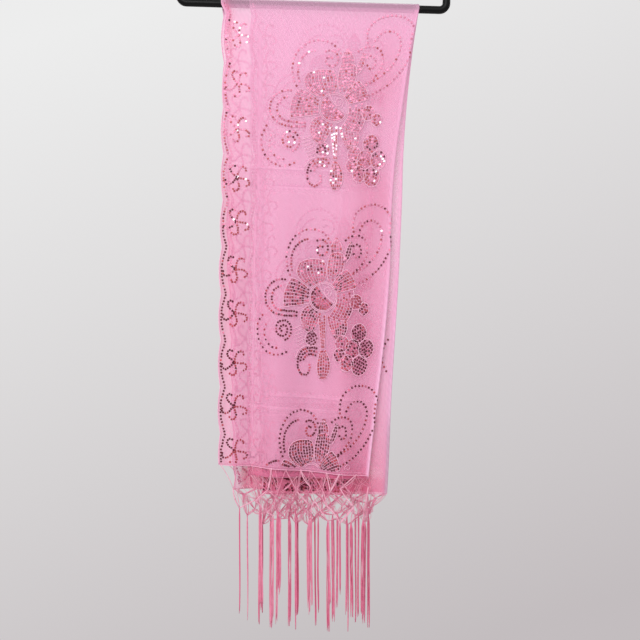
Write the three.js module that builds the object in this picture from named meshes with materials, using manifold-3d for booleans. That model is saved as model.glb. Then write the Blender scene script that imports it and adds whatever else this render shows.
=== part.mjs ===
// A sequinned evening shawl on a clothes hanger.
// The shawl is one long strip of sheer cloth. It is folded lengthwise, right side out, and hung over
// the hanger's bottom bar, so four leaves hang down: an outer and an inner leaf in front, and the
// same behind. Its two long edges are scalloped and both ends carry a knotted fringe.
//
// Millimetres. +X is to the right and -Y is the front. +Z is up. The origin is the place on the
// inside of the hook that rests on a rail.

import * as THREE from "three";
import { mergeVertices } from "three/addons/utils/BufferGeometryUtils.js";
import Module from "manifold-3d";

const wasm = await Module();
wasm.setup();

// ---- Driving dimensions -------------------------------------------------------------------------

// The hanger, moulded in one size of round tube.
const HANGER = {
  width: 420,
  tube: 12, // diameter
  barBelow: 214, // from the hook's rest point down to the bar's centreline
  endRise: 28, // how far each end stands up before the shoulder begins
  shoulderSlope: THREE.MathUtils.degToRad(23),
  bottomBend: 10.5, // centreline radii of the bends
  topBend: 14,
  neckBend: 30,
  tilt: THREE.MathUtils.degToRad(1.7), // it hangs a little lower on its right
};
const NECK = { diameter: 17, top: -80, height: 24, shoulder: 2, socket: 8.1, socketDepth: 14 };
const HOOK = {
  wire: 7.5,
  insideRadius: 21,
  tipAngle: 195, // degrees round the ring, from +X
  throatAngle: -40, // where the ring turns into the stem, over a sweep
  sweep: 22,
  stemTop: -84,
};
const HANGER_STEP = THREE.MathUtils.degToRad(15); // how far a bend turns between two sections

// The cloth.
const CLOTH = 1; // wall thickness
const SEAM = 0.3; // gap between neighbouring pieces
const LEFT_TOP = -147; // the free edges and the fold where the cloth crosses the bar
const FOLD_TOP = 156;
const INSET = 43; // how much narrower the inner half is, at its free edge
const SCALLOP = { period: 71, depth: 3.5, first: 18, fade: 14 };
const RANKS = { outer: 8.1, inner: 6.8 }; // how far in front of the bar's centre each leaf starts
const SPREAD = { outer: 0.3, inner: -1.7, over: 260 }; // how the two leaves part below the bar

// How the hung cloth draws in: a row for each level, `drop` below the bar. `left` is the outer
// leaves' free edge, `middle` the line 180 mm in from it along the cloth, `front` and `back` the
// fold of each pair of leaves.
const LEVELS = [
  { drop: 0, left: -147, middle: 33, front: 156, back: 156 },
  { drop: 60, left: -147.5, middle: 30, front: 143.5, back: 147 },
  { drop: 140, left: -147, middle: 26.5, front: 131.5, back: 138 },
  { drop: 220, left: -147, middle: 22.5, front: 120.5, back: 132.5 },
  { drop: 300, left: -148, middle: 17.5, front: 114, back: 130 },
  { drop: 400, left: -151, middle: 11, front: 111, back: 125.5 },
  { drop: 500, left: -152.5, middle: 4.5, front: 103, back: 119.5 },
  { drop: 600, left: -154, middle: -2.5, front: 91.5, back: 113.5 },
  { drop: 700, left: -153.5, middle: -9.5, front: 80, back: 109.5 },
  { drop: 760, left: -152, middle: -13.5, front: 75, back: 106 },
];
const MIDDLE = 180;

// The soft upright folds that the cloth falls into: a row for each. `top` and `hem` are where its
// crest stands at the bar and at 700 mm below it, `half` its half width, `depth` how far it stands
// back (or forward, when negative) by the hem, and `from` the drop at which it starts.
const FOLDS = [
  { top: -128, hem: -128, half: 15, depth: -5, from: 40 },
  { top: -93, hem: -101, half: 16, depth: 11, from: 40 },
  { top: -50, hem: -62, half: 22, depth: -9, from: 90 },
  { top: 8, hem: -14, half: 24, depth: 7, from: 160 },
  { top: 66, hem: 34, half: 21, depth: -10, from: 60 },
  { top: 118, hem: 71, half: 17, depth: 6, from: 30 },
  { top: 146, hem: 108, half: 16, depth: -4, from: 90 },
];
const FOLDS_FULL = 700; // the drop at which the folds have their whole depth

// The leaves: `side` is -1 in front and 1 behind, `inset` how much narrower the leaf is, `shift` how
// far its free edge has moved in by the hem, `hemLeft` and `hemRight` how far its hem lies below the
// bar at its two ends.
const LEAVES = {
  front_outer: { side: -1, rank: "outer", inset: 0, shift: 3, hemLeft: 705, hemRight: 714 },
  front_inner: { side: -1, rank: "inner", inset: INSET, shift: 3, hemLeft: 722, hemRight: 718 },
  back_inner: { side: 1, rank: "inner", inset: INSET, shift: 24, hemLeft: 746, hemRight: 726 },
  back_outer: { side: 1, rank: "outer", inset: 0, shift: 24, hemLeft: 744, hemRight: 740 },
};
const WIDTH_ACROSS = 303; // an outer leaf, from its free edge to the fold

// The fringes: `end` is how far below the bar the tassels reach. Over the net's height, which starts
// `from` below the bar, the fringe draws in by `left` and `right` from the hem's two corners.
const FRINGE_THICKNESS = 1.6;
const NET_HEIGHT = 95;
const FRINGES = {
  front: { end: 940, from: 726, left: 20, right: -3 },
  back: { end: 961, from: 750, left: 5, right: 24 },
};

const COLUMNS = [0, 14, 43, 57, 86, 116, 148, 180, 212, 243, 274, 303]; // along an outer leaf
const ROWS_PER_SCALLOP = 4;
const FRINGE_ROWS = [0, 0.1, 0.2, 0.35, 0.5, 1]; // closer where the net draws in
const FOLD_TURNS = [-90, -54, -18, 18, 54, 90]; // degrees round a side fold, from its outer leaf
const FOLD_ROWS = 24;
const SADDLE_STEPS = 8; // over the bar, from one leaf's top to the other's

const BLACK_PLASTIC = new THREE.MeshStandardMaterial({ color: 0x121214, roughness: 0.32 });
const PINK_CLOTH = new THREE.MeshStandardMaterial({ color: 0xf3aecb, roughness: 0.7 });
const PINK_FRINGE = new THREE.MeshStandardMaterial({ color: 0xd9688a, roughness: 0.55 });

// ---- Closed meshes ------------------------------------------------------------------------------

// Turns points and triangles into a geometry whose faces look outwards.
function closedGeometry(points, triangles) {
  let volume = 0;
  for (const [a, b, c] of triangles) {
    volume += points[a].dot(new THREE.Vector3().crossVectors(points[b], points[c]));
  }
  const faces = volume < 0 ? triangles.map(([a, b, c]) => [a, c, b]) : triangles;
  const geometry = new THREE.BufferGeometry();
  geometry.setAttribute(
    "position",
    new THREE.Float32BufferAttribute(points.flatMap((p) => [p.x, p.y, p.z]), 3),
  );
  geometry.setIndex(faces.flat());
  geometry.computeVertexNormals();
  return geometry;
}

// A tube of round sections. The path is a list of points in the XZ plane; a loop joins its last
// section to its first, and an open tube is closed by a point at each end.
function roundTube(path, radius, sides, isLoop) {
  const points = [];
  const triangles = [];
  const last = path.length - 1;
  path.forEach((centre, i) => {
    const before = path[isLoop ? (i + last) % (last + 1) : Math.max(i - 1, 0)];
    const after = path[isLoop ? (i + 1) % (last + 1) : Math.min(i + 1, last)];
    const along = after.clone().sub(before).normalize();
    const sideways = new THREE.Vector3(along.z, 0, -along.x);
    for (let k = 0; k < sides; k += 1) {
      const turn = (2 * Math.PI * k) / sides;
      points.push(
        centre
          .clone()
          .addScaledVector(sideways, radius * Math.cos(turn))
          .add(new THREE.Vector3(0, radius * Math.sin(turn), 0)),
      );
    }
  });
  const rings = isLoop ? path.length : last;
  for (let i = 0; i < rings; i += 1) {
    const here = i * sides;
    const next = ((i + 1) % path.length) * sides;
    for (let k = 0; k < sides; k += 1) {
      const l = (k + 1) % sides;
      triangles.push([here + k, next + k, next + l], [here + k, next + l, here + l]);
    }
  }
  if (!isLoop) {
    for (const [ring, end] of [[0, path[0]], [last, path[last]]]) {
      const centre = points.push(end.clone()) - 1;
      for (let k = 0; k < sides; k += 1) {
        const pair = [ring * sides + k, ring * sides + ((k + 1) % sides)];
        triangles.push(ring === 0 ? [centre, ...pair] : [centre, pair[1], pair[0]]);
      }
    }
  }
  return closedGeometry(points, triangles);
}

// A wall of even thickness on the surface `pointAt(across, down)`, closed along its four edges.
function clothWall(pointAt, across, down, thickness) {
  const step = 1e-3;
  const spanU = across.at(-1) - across[0];
  const spanV = down.at(-1) - down[0];
  const points = [];
  const triangles = [];
  for (const v of down) {
    for (const u of across) {
      const alongU = pointAt(u + step * spanU, v).sub(pointAt(u - step * spanU, v));
      const alongV = pointAt(u, v + step * spanV).sub(pointAt(u, v - step * spanV));
      const normal = alongU.cross(alongV).normalize();
      const middle = pointAt(u, v);
      points.push(middle.clone().addScaledVector(normal, thickness / 2));
      points.push(middle.addScaledVector(normal, -thickness / 2));
    }
  }
  const columns = across.length;
  const rows = down.length;
  const at = (row, column, face) => 2 * (row * columns + column) + face;
  const quad = (a, b, c, d) => triangles.push([a, b, c], [a, c, d]);
  for (let r = 0; r < rows - 1; r += 1) {
    for (let c = 0; c < columns - 1; c += 1) {
      quad(at(r, c, 0), at(r, c + 1, 0), at(r + 1, c + 1, 0), at(r + 1, c, 0));
      quad(at(r, c, 1), at(r + 1, c, 1), at(r + 1, c + 1, 1), at(r, c + 1, 1));
    }
    quad(at(r, 0, 0), at(r + 1, 0, 0), at(r + 1, 0, 1), at(r, 0, 1));
    quad(at(r, columns - 1, 0), at(r, columns - 1, 1), at(r + 1, columns - 1, 1),
      at(r + 1, columns - 1, 0));
  }
  for (let c = 0; c < columns - 1; c += 1) {
    quad(at(0, c, 0), at(0, c, 1), at(0, c + 1, 1), at(0, c + 1, 0));
    quad(at(rows - 1, c, 0), at(rows - 1, c + 1, 0), at(rows - 1, c + 1, 1), at(rows - 1, c, 1));
  }
  return closedGeometry(points, triangles);
}

// Joins closed geometries into one solid.
function joined(...geometries) {
  const solids = geometries.map((geometry) => {
    const bare = geometry.clone().deleteAttribute("normal").deleteAttribute("uv");
    const merged = mergeVertices(bare, 1e-4);
    return new wasm.Manifold(
      new wasm.Mesh({
        numProp: 3,
        vertProperties: merged.attributes.position.array,
        triVerts: new Uint32Array(merged.index.array),
      }),
    );
  });
  const mesh = solids.reduce((whole, next) => whole.add(next)).getMesh();
  const geometry = new THREE.BufferGeometry();
  geometry.setAttribute("position", new THREE.Float32BufferAttribute(mesh.vertProperties, 3));
  geometry.setIndex([...mesh.triVerts]);
  geometry.computeVertexNormals();
  return geometry;
}

// ---- The hanger ---------------------------------------------------------------------------------

// The points of a loop through `corners`, each rounded to its radius, with a point about every
// `perBend` of turning.
function roundedLoop(corners, perBend) {
  return corners.flatMap(({ at, radius }, i) => {
    const before = corners.at(i - 1).at.clone().sub(at).normalize();
    const after = corners[(i + 1) % corners.length].at.clone().sub(at).normalize();
    const opening = before.angleTo(after);
    const middle = before.clone().add(after).normalize();
    const centre = at.clone().addScaledVector(middle, radius / Math.sin(opening / 2));
    const reach = radius / Math.tan(opening / 2);
    const start = at.clone().addScaledVector(before, reach).sub(centre);
    const end = at.clone().addScaledVector(after, reach).sub(centre);
    const axis = new THREE.Vector3().crossVectors(start, end).normalize();
    const turning = Math.PI - opening;
    const steps = Math.max(2, Math.round(turning / perBend));
    return Array.from({ length: steps + 1 }, (_, k) =>
      start.clone().applyAxisAngle(axis, (turning * k) / steps).add(centre),
    );
  });
}

function hangerFrame() {
  const halfWidth = (HANGER.width - HANGER.tube) / 2;
  const endTop = -HANGER.barBelow + HANGER.endRise;
  const apex = endTop + halfWidth * Math.tan(HANGER.shoulderSlope);
  const corner = (x, z, radius) => ({ at: new THREE.Vector3(x, 0, z), radius });
  const loop = roundedLoop(
    [
      corner(-halfWidth, -HANGER.barBelow, HANGER.bottomBend),
      corner(halfWidth, -HANGER.barBelow, HANGER.bottomBend),
      corner(halfWidth, endTop, HANGER.topBend),
      corner(0, apex, HANGER.neckBend),
      corner(-halfWidth, endTop, HANGER.topBend),
    ],
    HANGER_STEP,
  );
  const tube = roundTube(loop, HANGER.tube / 2, 12, true);

  // The neck is a short boss with a socket down its middle for the hook's stem.
  const outer = NECK.diameter / 2;
  const socket = NECK.socket / 2;
  const bottom = NECK.top - NECK.height;
  const floor = NECK.top - NECK.socketDepth;
  const profile = [
    [0, bottom], [outer - NECK.shoulder / 2, bottom], [outer, bottom + NECK.shoulder / 2],
    [outer, NECK.top - NECK.shoulder], [outer - NECK.shoulder, NECK.top], [socket, NECK.top],
    [socket, floor], [0, floor],
  ];
  const neck = new THREE.LatheGeometry(profile.map(([r, z]) => new THREE.Vector2(r, z)), 20);
  neck.rotateX(Math.PI / 2);
  return joined(tube, neck);
}

function hangerHook() {
  const radius = HOOK.insideRadius + HOOK.wire / 2;
  const onRing = (angle) =>
    new THREE.Vector3(radius * Math.cos(angle), 0, radius * Math.sin(angle) - HOOK.insideRadius);
  const tip = THREE.MathUtils.degToRad(HOOK.tipAngle);
  const turned = THREE.MathUtils.degToRad(HOOK.throatAngle);
  const path = [];
  for (let angle = tip; angle > turned; angle -= HANGER_STEP) path.push(onRing(angle));
  const throat = onRing(turned);
  const heading = new THREE.Vector3(Math.sin(turned), 0, -Math.cos(turned));
  const foot = new THREE.Vector3(0, 0, NECK.top - NECK.socketDepth + SEAM);
  const sweep = new THREE.CubicBezierCurve3(
    throat,
    throat.clone().addScaledVector(heading, HOOK.sweep),
    new THREE.Vector3(0, 0, HOOK.stemTop + HOOK.sweep),
    new THREE.Vector3(0, 0, HOOK.stemTop),
  );
  path.push(...sweep.getPoints(6), foot);
  return roundTube(path, HOOK.wire / 2, 10, false);
}

// ---- The cloth ----------------------------------------------------------------------------------

const smooth = (t) => THREE.MathUtils.smoothstep(t, 0, 1);

// The height of the bar's centreline at x. The hanger turns about the hook's rest point.
function barHeight(x) {
  const sine = Math.sin(HANGER.tilt);
  return -(HANGER.barBelow + x * sine) / Math.cos(HANGER.tilt);
}

// A value from LEVELS at any drop, on a smooth curve through the rows. Each row's slope is that of
// the line between its neighbours.
function levelAt(drop, column) {
  const top = LEVELS.length - 1;
  const slope = (i) => {
    const before = LEVELS[Math.max(i - 1, 0)];
    const after = LEVELS[Math.min(i + 1, top)];
    return (after[column] - before[column]) / (after.drop - before.drop);
  };
  const found = LEVELS.findIndex((level) => level.drop > drop);
  const i = found === -1 ? top : Math.max(found, 1);
  const low = LEVELS[i - 1];
  const high = LEVELS[i];
  const span = high.drop - low.drop;
  const t = (drop - low.drop) / span;
  const eased = t * t * (3 - 2 * t);
  return (
    THREE.MathUtils.lerp(low[column], high[column], eased) +
    slope(i - 1) * span * t * (1 - t) ** 2 -
    slope(i) * span * t * t * (1 - t)
  );
}

// How far back the upright folds push the cloth at x: a sum of bell curves that grow downwards.
function foldDepth(x, drop) {
  return FOLDS.reduce((sum, fold) => {
    const crest = THREE.MathUtils.lerp(fold.top, fold.hem, drop / FOLDS_FULL);
    const growth = smooth((drop - fold.from) / (FOLDS_FULL - fold.from));
    return sum + fold.depth * growth * Math.exp(-(((x - crest) / fold.half) ** 2));
  }, 0);
}

// How far a leaf hangs from the bar's centre plane, before its folds.
function rankDistance(rank, drop) {
  return RANKS[rank] + SPREAD[rank] * smooth(drop / SPREAD.over);
}

// The free edge is a row of shallow scallops, deepest in at each notch.
function scallop(drop) {
  const phase = (drop - SCALLOP.first) / SCALLOP.period;
  return SCALLOP.depth * (1 - Math.abs(Math.sin(Math.PI * phase)));
}

// The x of a point `across` mm along the cloth from the outer leaf's free edge. Between the free
// edge, the middle line and the fold the cloth draws in evenly, and the border stays flat.
function spreadAcross(leaf, across, drop) {
  const left = levelAt(drop, "left") + leaf.shift * smooth(drop / LEVELS.at(-1).drop);
  const middle = levelAt(drop, "middle");
  const fold = levelAt(drop, leaf.side < 0 ? "front" : "back") - rankGap(drop) / 2;
  if (across <= INSET) return left + across;
  if (across <= MIDDLE) {
    return THREE.MathUtils.mapLinear(across, INSET, MIDDLE, left + INSET, middle);
  }
  return THREE.MathUtils.mapLinear(across, MIDDLE, WIDTH_ACROSS, middle, fold);
}

// The distance between an outer leaf's middle surface and its inner one's.
function rankGap(drop) {
  return rankDistance("outer", drop) - rankDistance("inner", drop);
}

// A point on a leaf's middle surface.
function leafPoint(leaf, across, drop) {
  const edgeward = Math.max(0, 1 - (across - leaf.inset) / SCALLOP.fade);
  const x = spreadAcross(leaf, across, drop) + scallop(drop) * smooth(edgeward);
  const y = leaf.side * rankDistance(leaf.rank, drop) + foldDepth(x, drop);
  const hang = barHeight(THREE.MathUtils.mapLinear(across, 0, WIDTH_ACROSS, LEFT_TOP, FOLD_TOP));
  return new THREE.Vector3(x, y, hang - drop);
}

const hemDrop = (leaf, across) =>
  THREE.MathUtils.mapLinear(across, 0, WIDTH_ACROSS, leaf.hemLeft, leaf.hemRight);

// The levels of a leaf's rows, as shares of its hem drop: four to each scallop.
function scallopRows(hem) {
  const rows = Math.round((ROWS_PER_SCALLOP * hem) / SCALLOP.period);
  return Array.from({ length: rows + 1 }, (_, i) => i / rows);
}

function clothLeaf(leaf) {
  const columns = COLUMNS.filter((across) => across >= leaf.inset);
  columns[columns.length - 1] -= 2 * SEAM;
  const rows = scallopRows(leaf.hemLeft);
  const pointAt = (across, share) =>
    leafPoint(leaf, across, SEAM + share * (hemDrop(leaf, across) - SEAM));
  return clothWall(pointAt, columns, rows, CLOTH);
}

// The rounded fold that joins a pair's outer leaf to its inner one, down the right-hand edge.
function sideFold(outer, inner) {
  const rows = Array.from({ length: FOLD_ROWS + 1 }, (_, i) => i / FOLD_ROWS);
  const pointAt = (degrees, share) => {
    const turn = THREE.MathUtils.degToRad(degrees);
    const nearInner = 0.5 + 0.5 * Math.sin(turn);
    const hem = THREE.MathUtils.lerp(outer.hemRight, inner.hemRight, nearInner);
    const drop = SEAM + share * (hem - SEAM);
    const radius = rankGap(drop) / 2;
    const edge = spreadAcross(outer, WIDTH_ACROSS, drop);
    const centre = outer.side * (rankDistance("inner", drop) + radius) + foldDepth(edge, drop);
    return new THREE.Vector3(
      edge + radius * Math.cos(turn),
      centre - outer.side * radius * Math.sin(turn),
      barHeight(FOLD_TOP) - drop,
    );
  };
  return clothWall(pointAt, FOLD_TURNS, rows, CLOTH);
}

// The stretch that crosses over the bar, from the front leaf's top to the back leaf's.
function barSaddle(rank, inset) {
  const radius = RANKS[rank];
  const across = COLUMNS.filter((u, i) => u >= inset && i % 2 === 0).concat(WIDTH_ACROSS);
  const turns = Array.from({ length: SADDLE_STEPS + 1 }, (_, i) => (180 * i) / SADDLE_STEPS);
  const pointAt = (u, degrees) => {
    const turn = THREE.MathUtils.degToRad(degrees);
    const x = LEFT_TOP + u - (u === WIDTH_ACROSS ? SEAM : 0);
    return new THREE.Vector3(
      x, -radius * Math.cos(turn), barHeight(x) + radius * Math.sin(turn),
    );
  };
  return clothWall(pointAt, across, turns, CLOTH);
}

// The reach of a leaf's fringe: a plain slab that hangs plumb from the hem and draws in a little.
function fringeReach(leaf) {
  const pair = leaf.side < 0 ? "front" : "back";
  const fringe = FRINGES[pair];
  const leftCorner = levelAt(FOLDS_FULL, "left");
  const rightCorner = levelAt(FOLDS_FULL, pair);
  const pointAt = (across, share) => {
    const hem = hemDrop(leaf, across);
    const point = leafPoint(leaf, across, hem);
    const inwards = THREE.MathUtils.mapLinear(
      point.x, leftCorner, rightCorner, fringe.left, -fringe.right,
    );
    const drop = THREE.MathUtils.lerp(hem + CLOTH / 2 + SEAM, fringe.end, share);
    point.x += inwards * smooth((drop - fringe.from) / NET_HEIGHT);
    point.y = leaf.side * rankDistance(leaf.rank, hem) + foldDepth(point.x, FOLDS_FULL);
    point.z -= drop - hem;
    return point;
  };
  const columns = COLUMNS.filter((across) => across >= leaf.inset);
  return clothWall(pointAt, columns, FRINGE_ROWS, FRINGE_THICKNESS);
}

// ---- The whole ----------------------------------------------------------------------------------

function piece(name, geometry, material) {
  const mesh = new THREE.Mesh(geometry, material);
  mesh.name = name;
  return mesh;
}

const shawlOnHanger = new THREE.Group();

const hanger = new THREE.Group();
hanger.rotation.y = HANGER.tilt;
hanger.add(
  piece("hanger_frame", hangerFrame(), BLACK_PLASTIC),
  piece("hanger_hook", hangerHook(), BLACK_PLASTIC),
);
shawlOnHanger.add(hanger);

for (const [name, leaf] of Object.entries(LEAVES)) {
  shawlOnHanger.add(
    piece(`${name}_leaf`, clothLeaf(leaf), PINK_CLOTH),
    piece(`${name}_fringe`, fringeReach(leaf), PINK_FRINGE),
  );
}
shawlOnHanger.add(
  piece("front_side_fold", sideFold(LEAVES.front_outer, LEAVES.front_inner), PINK_CLOTH),
  piece("back_side_fold", sideFold(LEAVES.back_outer, LEAVES.back_inner), PINK_CLOTH),
  piece("saddle_outer", barSaddle("outer", 0), PINK_CLOTH),
  piece("saddle_inner", barSaddle("inner", INSET), PINK_CLOTH),
);

export default shawlOnHanger;
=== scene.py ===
# %% [markdown]
# # A sequinned evening shawl, hung over a clothes hanger
# The shawl is one strip of sheer pink cloth with scalloped long edges, flowers worked in thread and
# sequins, and a knotted fringe at both ends. It is folded lengthwise with its right side out and hung
# over the bar of a black plastic hanger, so four leaves of cloth hang one behind another. The lesson
# makes the cloth as one surface. All that is sewn on it is placed by that surface's own two
# measures, as a maker measures across and along the cloth.

import bpy
import numpy as np
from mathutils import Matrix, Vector


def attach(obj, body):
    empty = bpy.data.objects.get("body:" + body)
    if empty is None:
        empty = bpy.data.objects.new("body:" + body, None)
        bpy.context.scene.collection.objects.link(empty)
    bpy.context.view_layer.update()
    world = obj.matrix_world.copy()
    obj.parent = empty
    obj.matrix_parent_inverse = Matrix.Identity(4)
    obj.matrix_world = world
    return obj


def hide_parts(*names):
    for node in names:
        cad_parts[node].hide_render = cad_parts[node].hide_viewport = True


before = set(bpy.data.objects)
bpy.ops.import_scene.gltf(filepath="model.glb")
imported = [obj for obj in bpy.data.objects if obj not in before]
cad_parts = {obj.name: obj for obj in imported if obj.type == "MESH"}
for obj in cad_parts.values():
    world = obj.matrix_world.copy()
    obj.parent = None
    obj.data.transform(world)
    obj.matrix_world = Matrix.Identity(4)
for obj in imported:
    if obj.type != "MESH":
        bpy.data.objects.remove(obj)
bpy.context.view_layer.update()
MM = 0.001  # the lesson's own sizes are in millimetres, and the meshes in metres
print("frame:", sorted(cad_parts))

# %% Easing and colours
def smooth(t):
    """Eases from 0 to 1: 3t^2 - 2t^3, with t kept between 0 and 1."""
    t = np.clip(t, 0.0, 1.0)
    return t * t * (3.0 - 2.0 * t)


def linear(code):
    """An sRGB hex colour as linear RGBA: c / 12.92 up to 0.04045, ((c + 0.055) / 1.055)^2.4 above."""
    c = np.array([int(code[i:i + 2], 16) for i in (1, 3, 5)]) / 255
    rgb = np.where(c <= 0.04045, c / 12.92, ((c + 0.055) / 1.055) ** 2.4)
    return (*rgb.tolist(), 1.0)


print("a quarter of the way eases to", smooth(0.25), "and sRGB #808080 is", round(linear("#808080")[0], 3))

# %% [markdown]
# ## The view
# The camera stands two metres in front, level with the middle of the hanging cloth. A near camera
# with a wide lens would stretch the leaves towards the corners, so the lens is a long one, which
# keeps the cloth flat and lets the bar run along the top of the view. Light has to pass through many
# sheer faces one behind another, so the number of see-through surfaces that a ray may cross is raised.

# %% Camera and render settings
VIEW_ACROSS = 4.4  # mm, the middle of the view
VIEW_HEIGHT = -694
VIEW_DISTANCE = 2000
LENS = 73.5
SENSOR = 36

scene = bpy.context.scene
camera = bpy.data.objects.new("camera", bpy.data.cameras.new("camera"))
camera.data.lens = LENS
camera.data.sensor_width = SENSOR
camera.location = (VIEW_ACROSS * MM, -VIEW_DISTANCE * MM, VIEW_HEIGHT * MM)
camera.rotation_euler = (np.pi / 2, 0, 0)
scene.collection.objects.link(camera)
scene.camera = camera
scene.view_settings.view_transform = "Standard"
scene.cycles.transparent_max_bounces = 40  # four leaves have eight faces, and a fold adds more
print("view is", round(VIEW_DISTANCE * SENSOR / LENS), "mm across")

# %% [markdown]
# ## How the cloth hangs
# Hung cloth draws in as it falls, and it drops into soft upright folds that deepen towards the hem.
# A cloth simulation would find folds of its own. The folds here have to match the part's solids, so
# the same named sizes are worked out again, as functions of how far down the cloth a point is.

# %% How the cloth draws in
HANGER_TILT = np.radians(1.7)
BAR_BELOW = 214  # from the hook's rest point down to the bar's centreline
LEFT_TOP = -147  # where the cloth's free edge crosses the bar
FOLD = 303  # across the cloth from the outer free edge to the lengthwise fold
INSET = 43  # how much narrower the inner half is
WIDTH = 2 * FOLD - INSET
MIDDLE_ACROSS = 180
DROP, LEFT, MIDDLE, FRONT, BACK = range(5)
LEVELS = np.array([
    (0, -147, 33, 156, 156),
    (60, -147.5, 30, 143.5, 147),
    (140, -147, 26.5, 131.5, 138),
    (220, -147, 22.5, 120.5, 132.5),
    (300, -148, 17.5, 114, 130),
    (400, -151, 11, 111, 125.5),
    (500, -152.5, 4.5, 103, 119.5),
    (600, -154, -2.5, 91.5, 113.5),
    (700, -153.5, -9.5, 80, 109.5),
    (760, -152, -13.5, 75, 106),
], float)


def level_at(drop, column):
    """A column of LEVELS at any drop: cubic Hermite, each row's slope being its neighbours' chord."""
    rows = LEVELS[:, DROP]
    values = LEVELS[:, column]
    before = np.maximum(np.arange(len(rows)) - 1, 0)
    after = np.minimum(np.arange(len(rows)) + 1, len(rows) - 1)
    slopes = (values[after] - values[before]) / (rows[after] - rows[before])
    i = np.clip(np.searchsorted(rows, drop, side="right"), 1, len(rows) - 1)
    span = rows[i] - rows[i - 1]
    t = (drop - rows[i - 1]) / span
    eased = t * t * (3 - 2 * t)
    return (values[i - 1] + (values[i] - values[i - 1]) * eased
            + slopes[i - 1] * span * t * (1 - t) ** 2 - slopes[i] * span * t * t * (1 - t))


def bar_height(x):
    """The bar's centreline at x: the hanger turns about the hook by its tilt."""
    return -(BAR_BELOW + x * np.sin(HANGER_TILT)) / np.cos(HANGER_TILT)


print("the pair in front is", level_at(700, FRONT) - level_at(700, LEFT), "mm wide at the hem")

# %% The upright folds and the creases
FOLDS = np.array([  # crest at the bar, crest at the hem, half width, depth, the drop where it starts
    (-128, -128, 15, -5, 40),
    (-93, -101, 16, 11, 40),
    (-50, -62, 22, -9, 90),
    (8, -14, 24, 7, 160),
    (66, 34, 21, -10, 60),
    (118, 71, 17, 6, 30),
    (146, 108, 16, -4, 90),
], float)
FOLDS_FULL = 700
CREASES = [  # side, across and level of both ends, half width, height: sharp lines from the packet
    (1, 55, 300, 55, 715, 1.6, 1.1),
    (1, 61, 20, 58, 330, 2.6, -0.6),
    (1, 20, 257, 250, 257, 1.3, 0.8),
    (1, 60, 285, 230, 285, 1.3, -0.7),
    (1, 70, 610, 300, 610, 1.3, 1.0),
    (1, 30, 628, 240, 628, 1.4, -0.8),
    (1, 255, 30, 262, 420, 4.0, 0.5),
    (-1, 57, 60, 55, 730, 1.6, 1.1),
    (-1, 30, 268, 290, 268, 1.3, 0.8),
    (-1, 60, 618, 300, 618, 1.3, 0.9),
    (-1, 210, 80, 204, 500, 4.5, -0.5),
]
LEVEL_LENGTH = 725  # creases run parallel to the hem, so their levels are measured on a leaf this long
HEMS = {  # how far each half's hem lies below the bar, at its free edge and at the fold
    1: {"outer": (705, 714), "inner": (722, 718)},
    -1: {"outer": (744, 740), "inner": (751, 743)},
}
HEM_EASE = 8  # how far across, at the fold, the outer half's hem takes to become the inner half's
CREASE_FADE = 0.2  # the part of a crease's length over which each of its ends fades
GATHER = {"across": 17, "drop": 60, "pleat": 5.6, "height": 1.5}


def fold_depth(x, drop):
    """How far back the folds push the cloth: the sum of depth * growth * exp(-((x - crest) / half)^2)."""
    top, hem, half, depth, start = FOLDS.T
    down = drop[..., None]
    crest = top + (hem - top) * down / FOLDS_FULL
    growth = smooth((down - start) / (FOLDS_FULL - start))
    return (depth * growth * np.exp(-(((x[..., None] - crest) / half) ** 2))).sum(-1)


def hem_drop(u, side):
    """How far a hem lies below the bar: level lines for each half, eased together at the fold."""
    across = np.where(u < FOLD, u, 2 * FOLD - u) / FOLD
    runs = {}
    for half in ("outer", "inner"):
        front_left, front_right = HEMS[1][half]
        back_left, back_right = HEMS[-1][half]
        front = front_left + (front_right - front_left) * across
        back = back_left + (back_right - back_left) * across
        runs[half] = np.where(np.asarray(side) > 0, front, back)
    return runs["outer"] + (runs["inner"] - runs["outer"]) * smooth((u - FOLD) / HEM_EASE + 0.5)


def crease_height(u, drop, side):
    """The creases' relief: the sum of height * exp(-(off / half)^2), fading at both ends of each line."""
    across = np.where(u < FOLD, u, 2 * FOLD - u)
    level = drop * LEVEL_LENGTH / hem_drop(u, side)
    total = np.zeros(np.shape(across))
    for face, a0, d0, a1, d1, half, height in CREASES:
        run = np.hypot(a1 - a0, d1 - d0)
        along = ((across - a0) * (a1 - a0) + (level - d0) * (d1 - d0)) / run ** 2
        off = ((across - a0) * (d1 - d0) - (level - d0) * (a1 - a0)) / run
        fade = smooth(along / CREASE_FADE) * smooth((1 - along) / CREASE_FADE)
        total += np.where(side == face, height * np.exp(-((off / half) ** 2)) * fade, 0)
    return total


def gathering(across, drop, past):
    """How tightly the outer free edge is bunched where it crosses the bar, from 0 to 1."""
    return np.where(past < 0, smooth(1 - across / GATHER["across"]) * smooth(1 - drop / GATHER["drop"]), 0)


crest_depths = fold_depth(FOLDS[:, 1], np.full(len(FOLDS), float(FOLDS_FULL)))
print("at the hem the folds' crests lie back by", crest_depths.round(1), "mm")

# %% [markdown]
# ## The cloth's own coordinates
# `u` runs across the cloth, from the outer free edge through the lengthwise fold to the inner free
# edge. `w` runs along it, from 0 on top of the bar to the front hem, and below 0 to the back hem.
# One function turns them into a place in space, and a second finds the way that the cloth faces
# there, so a sequin, a stitch and the cloth under it always agree.

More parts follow.
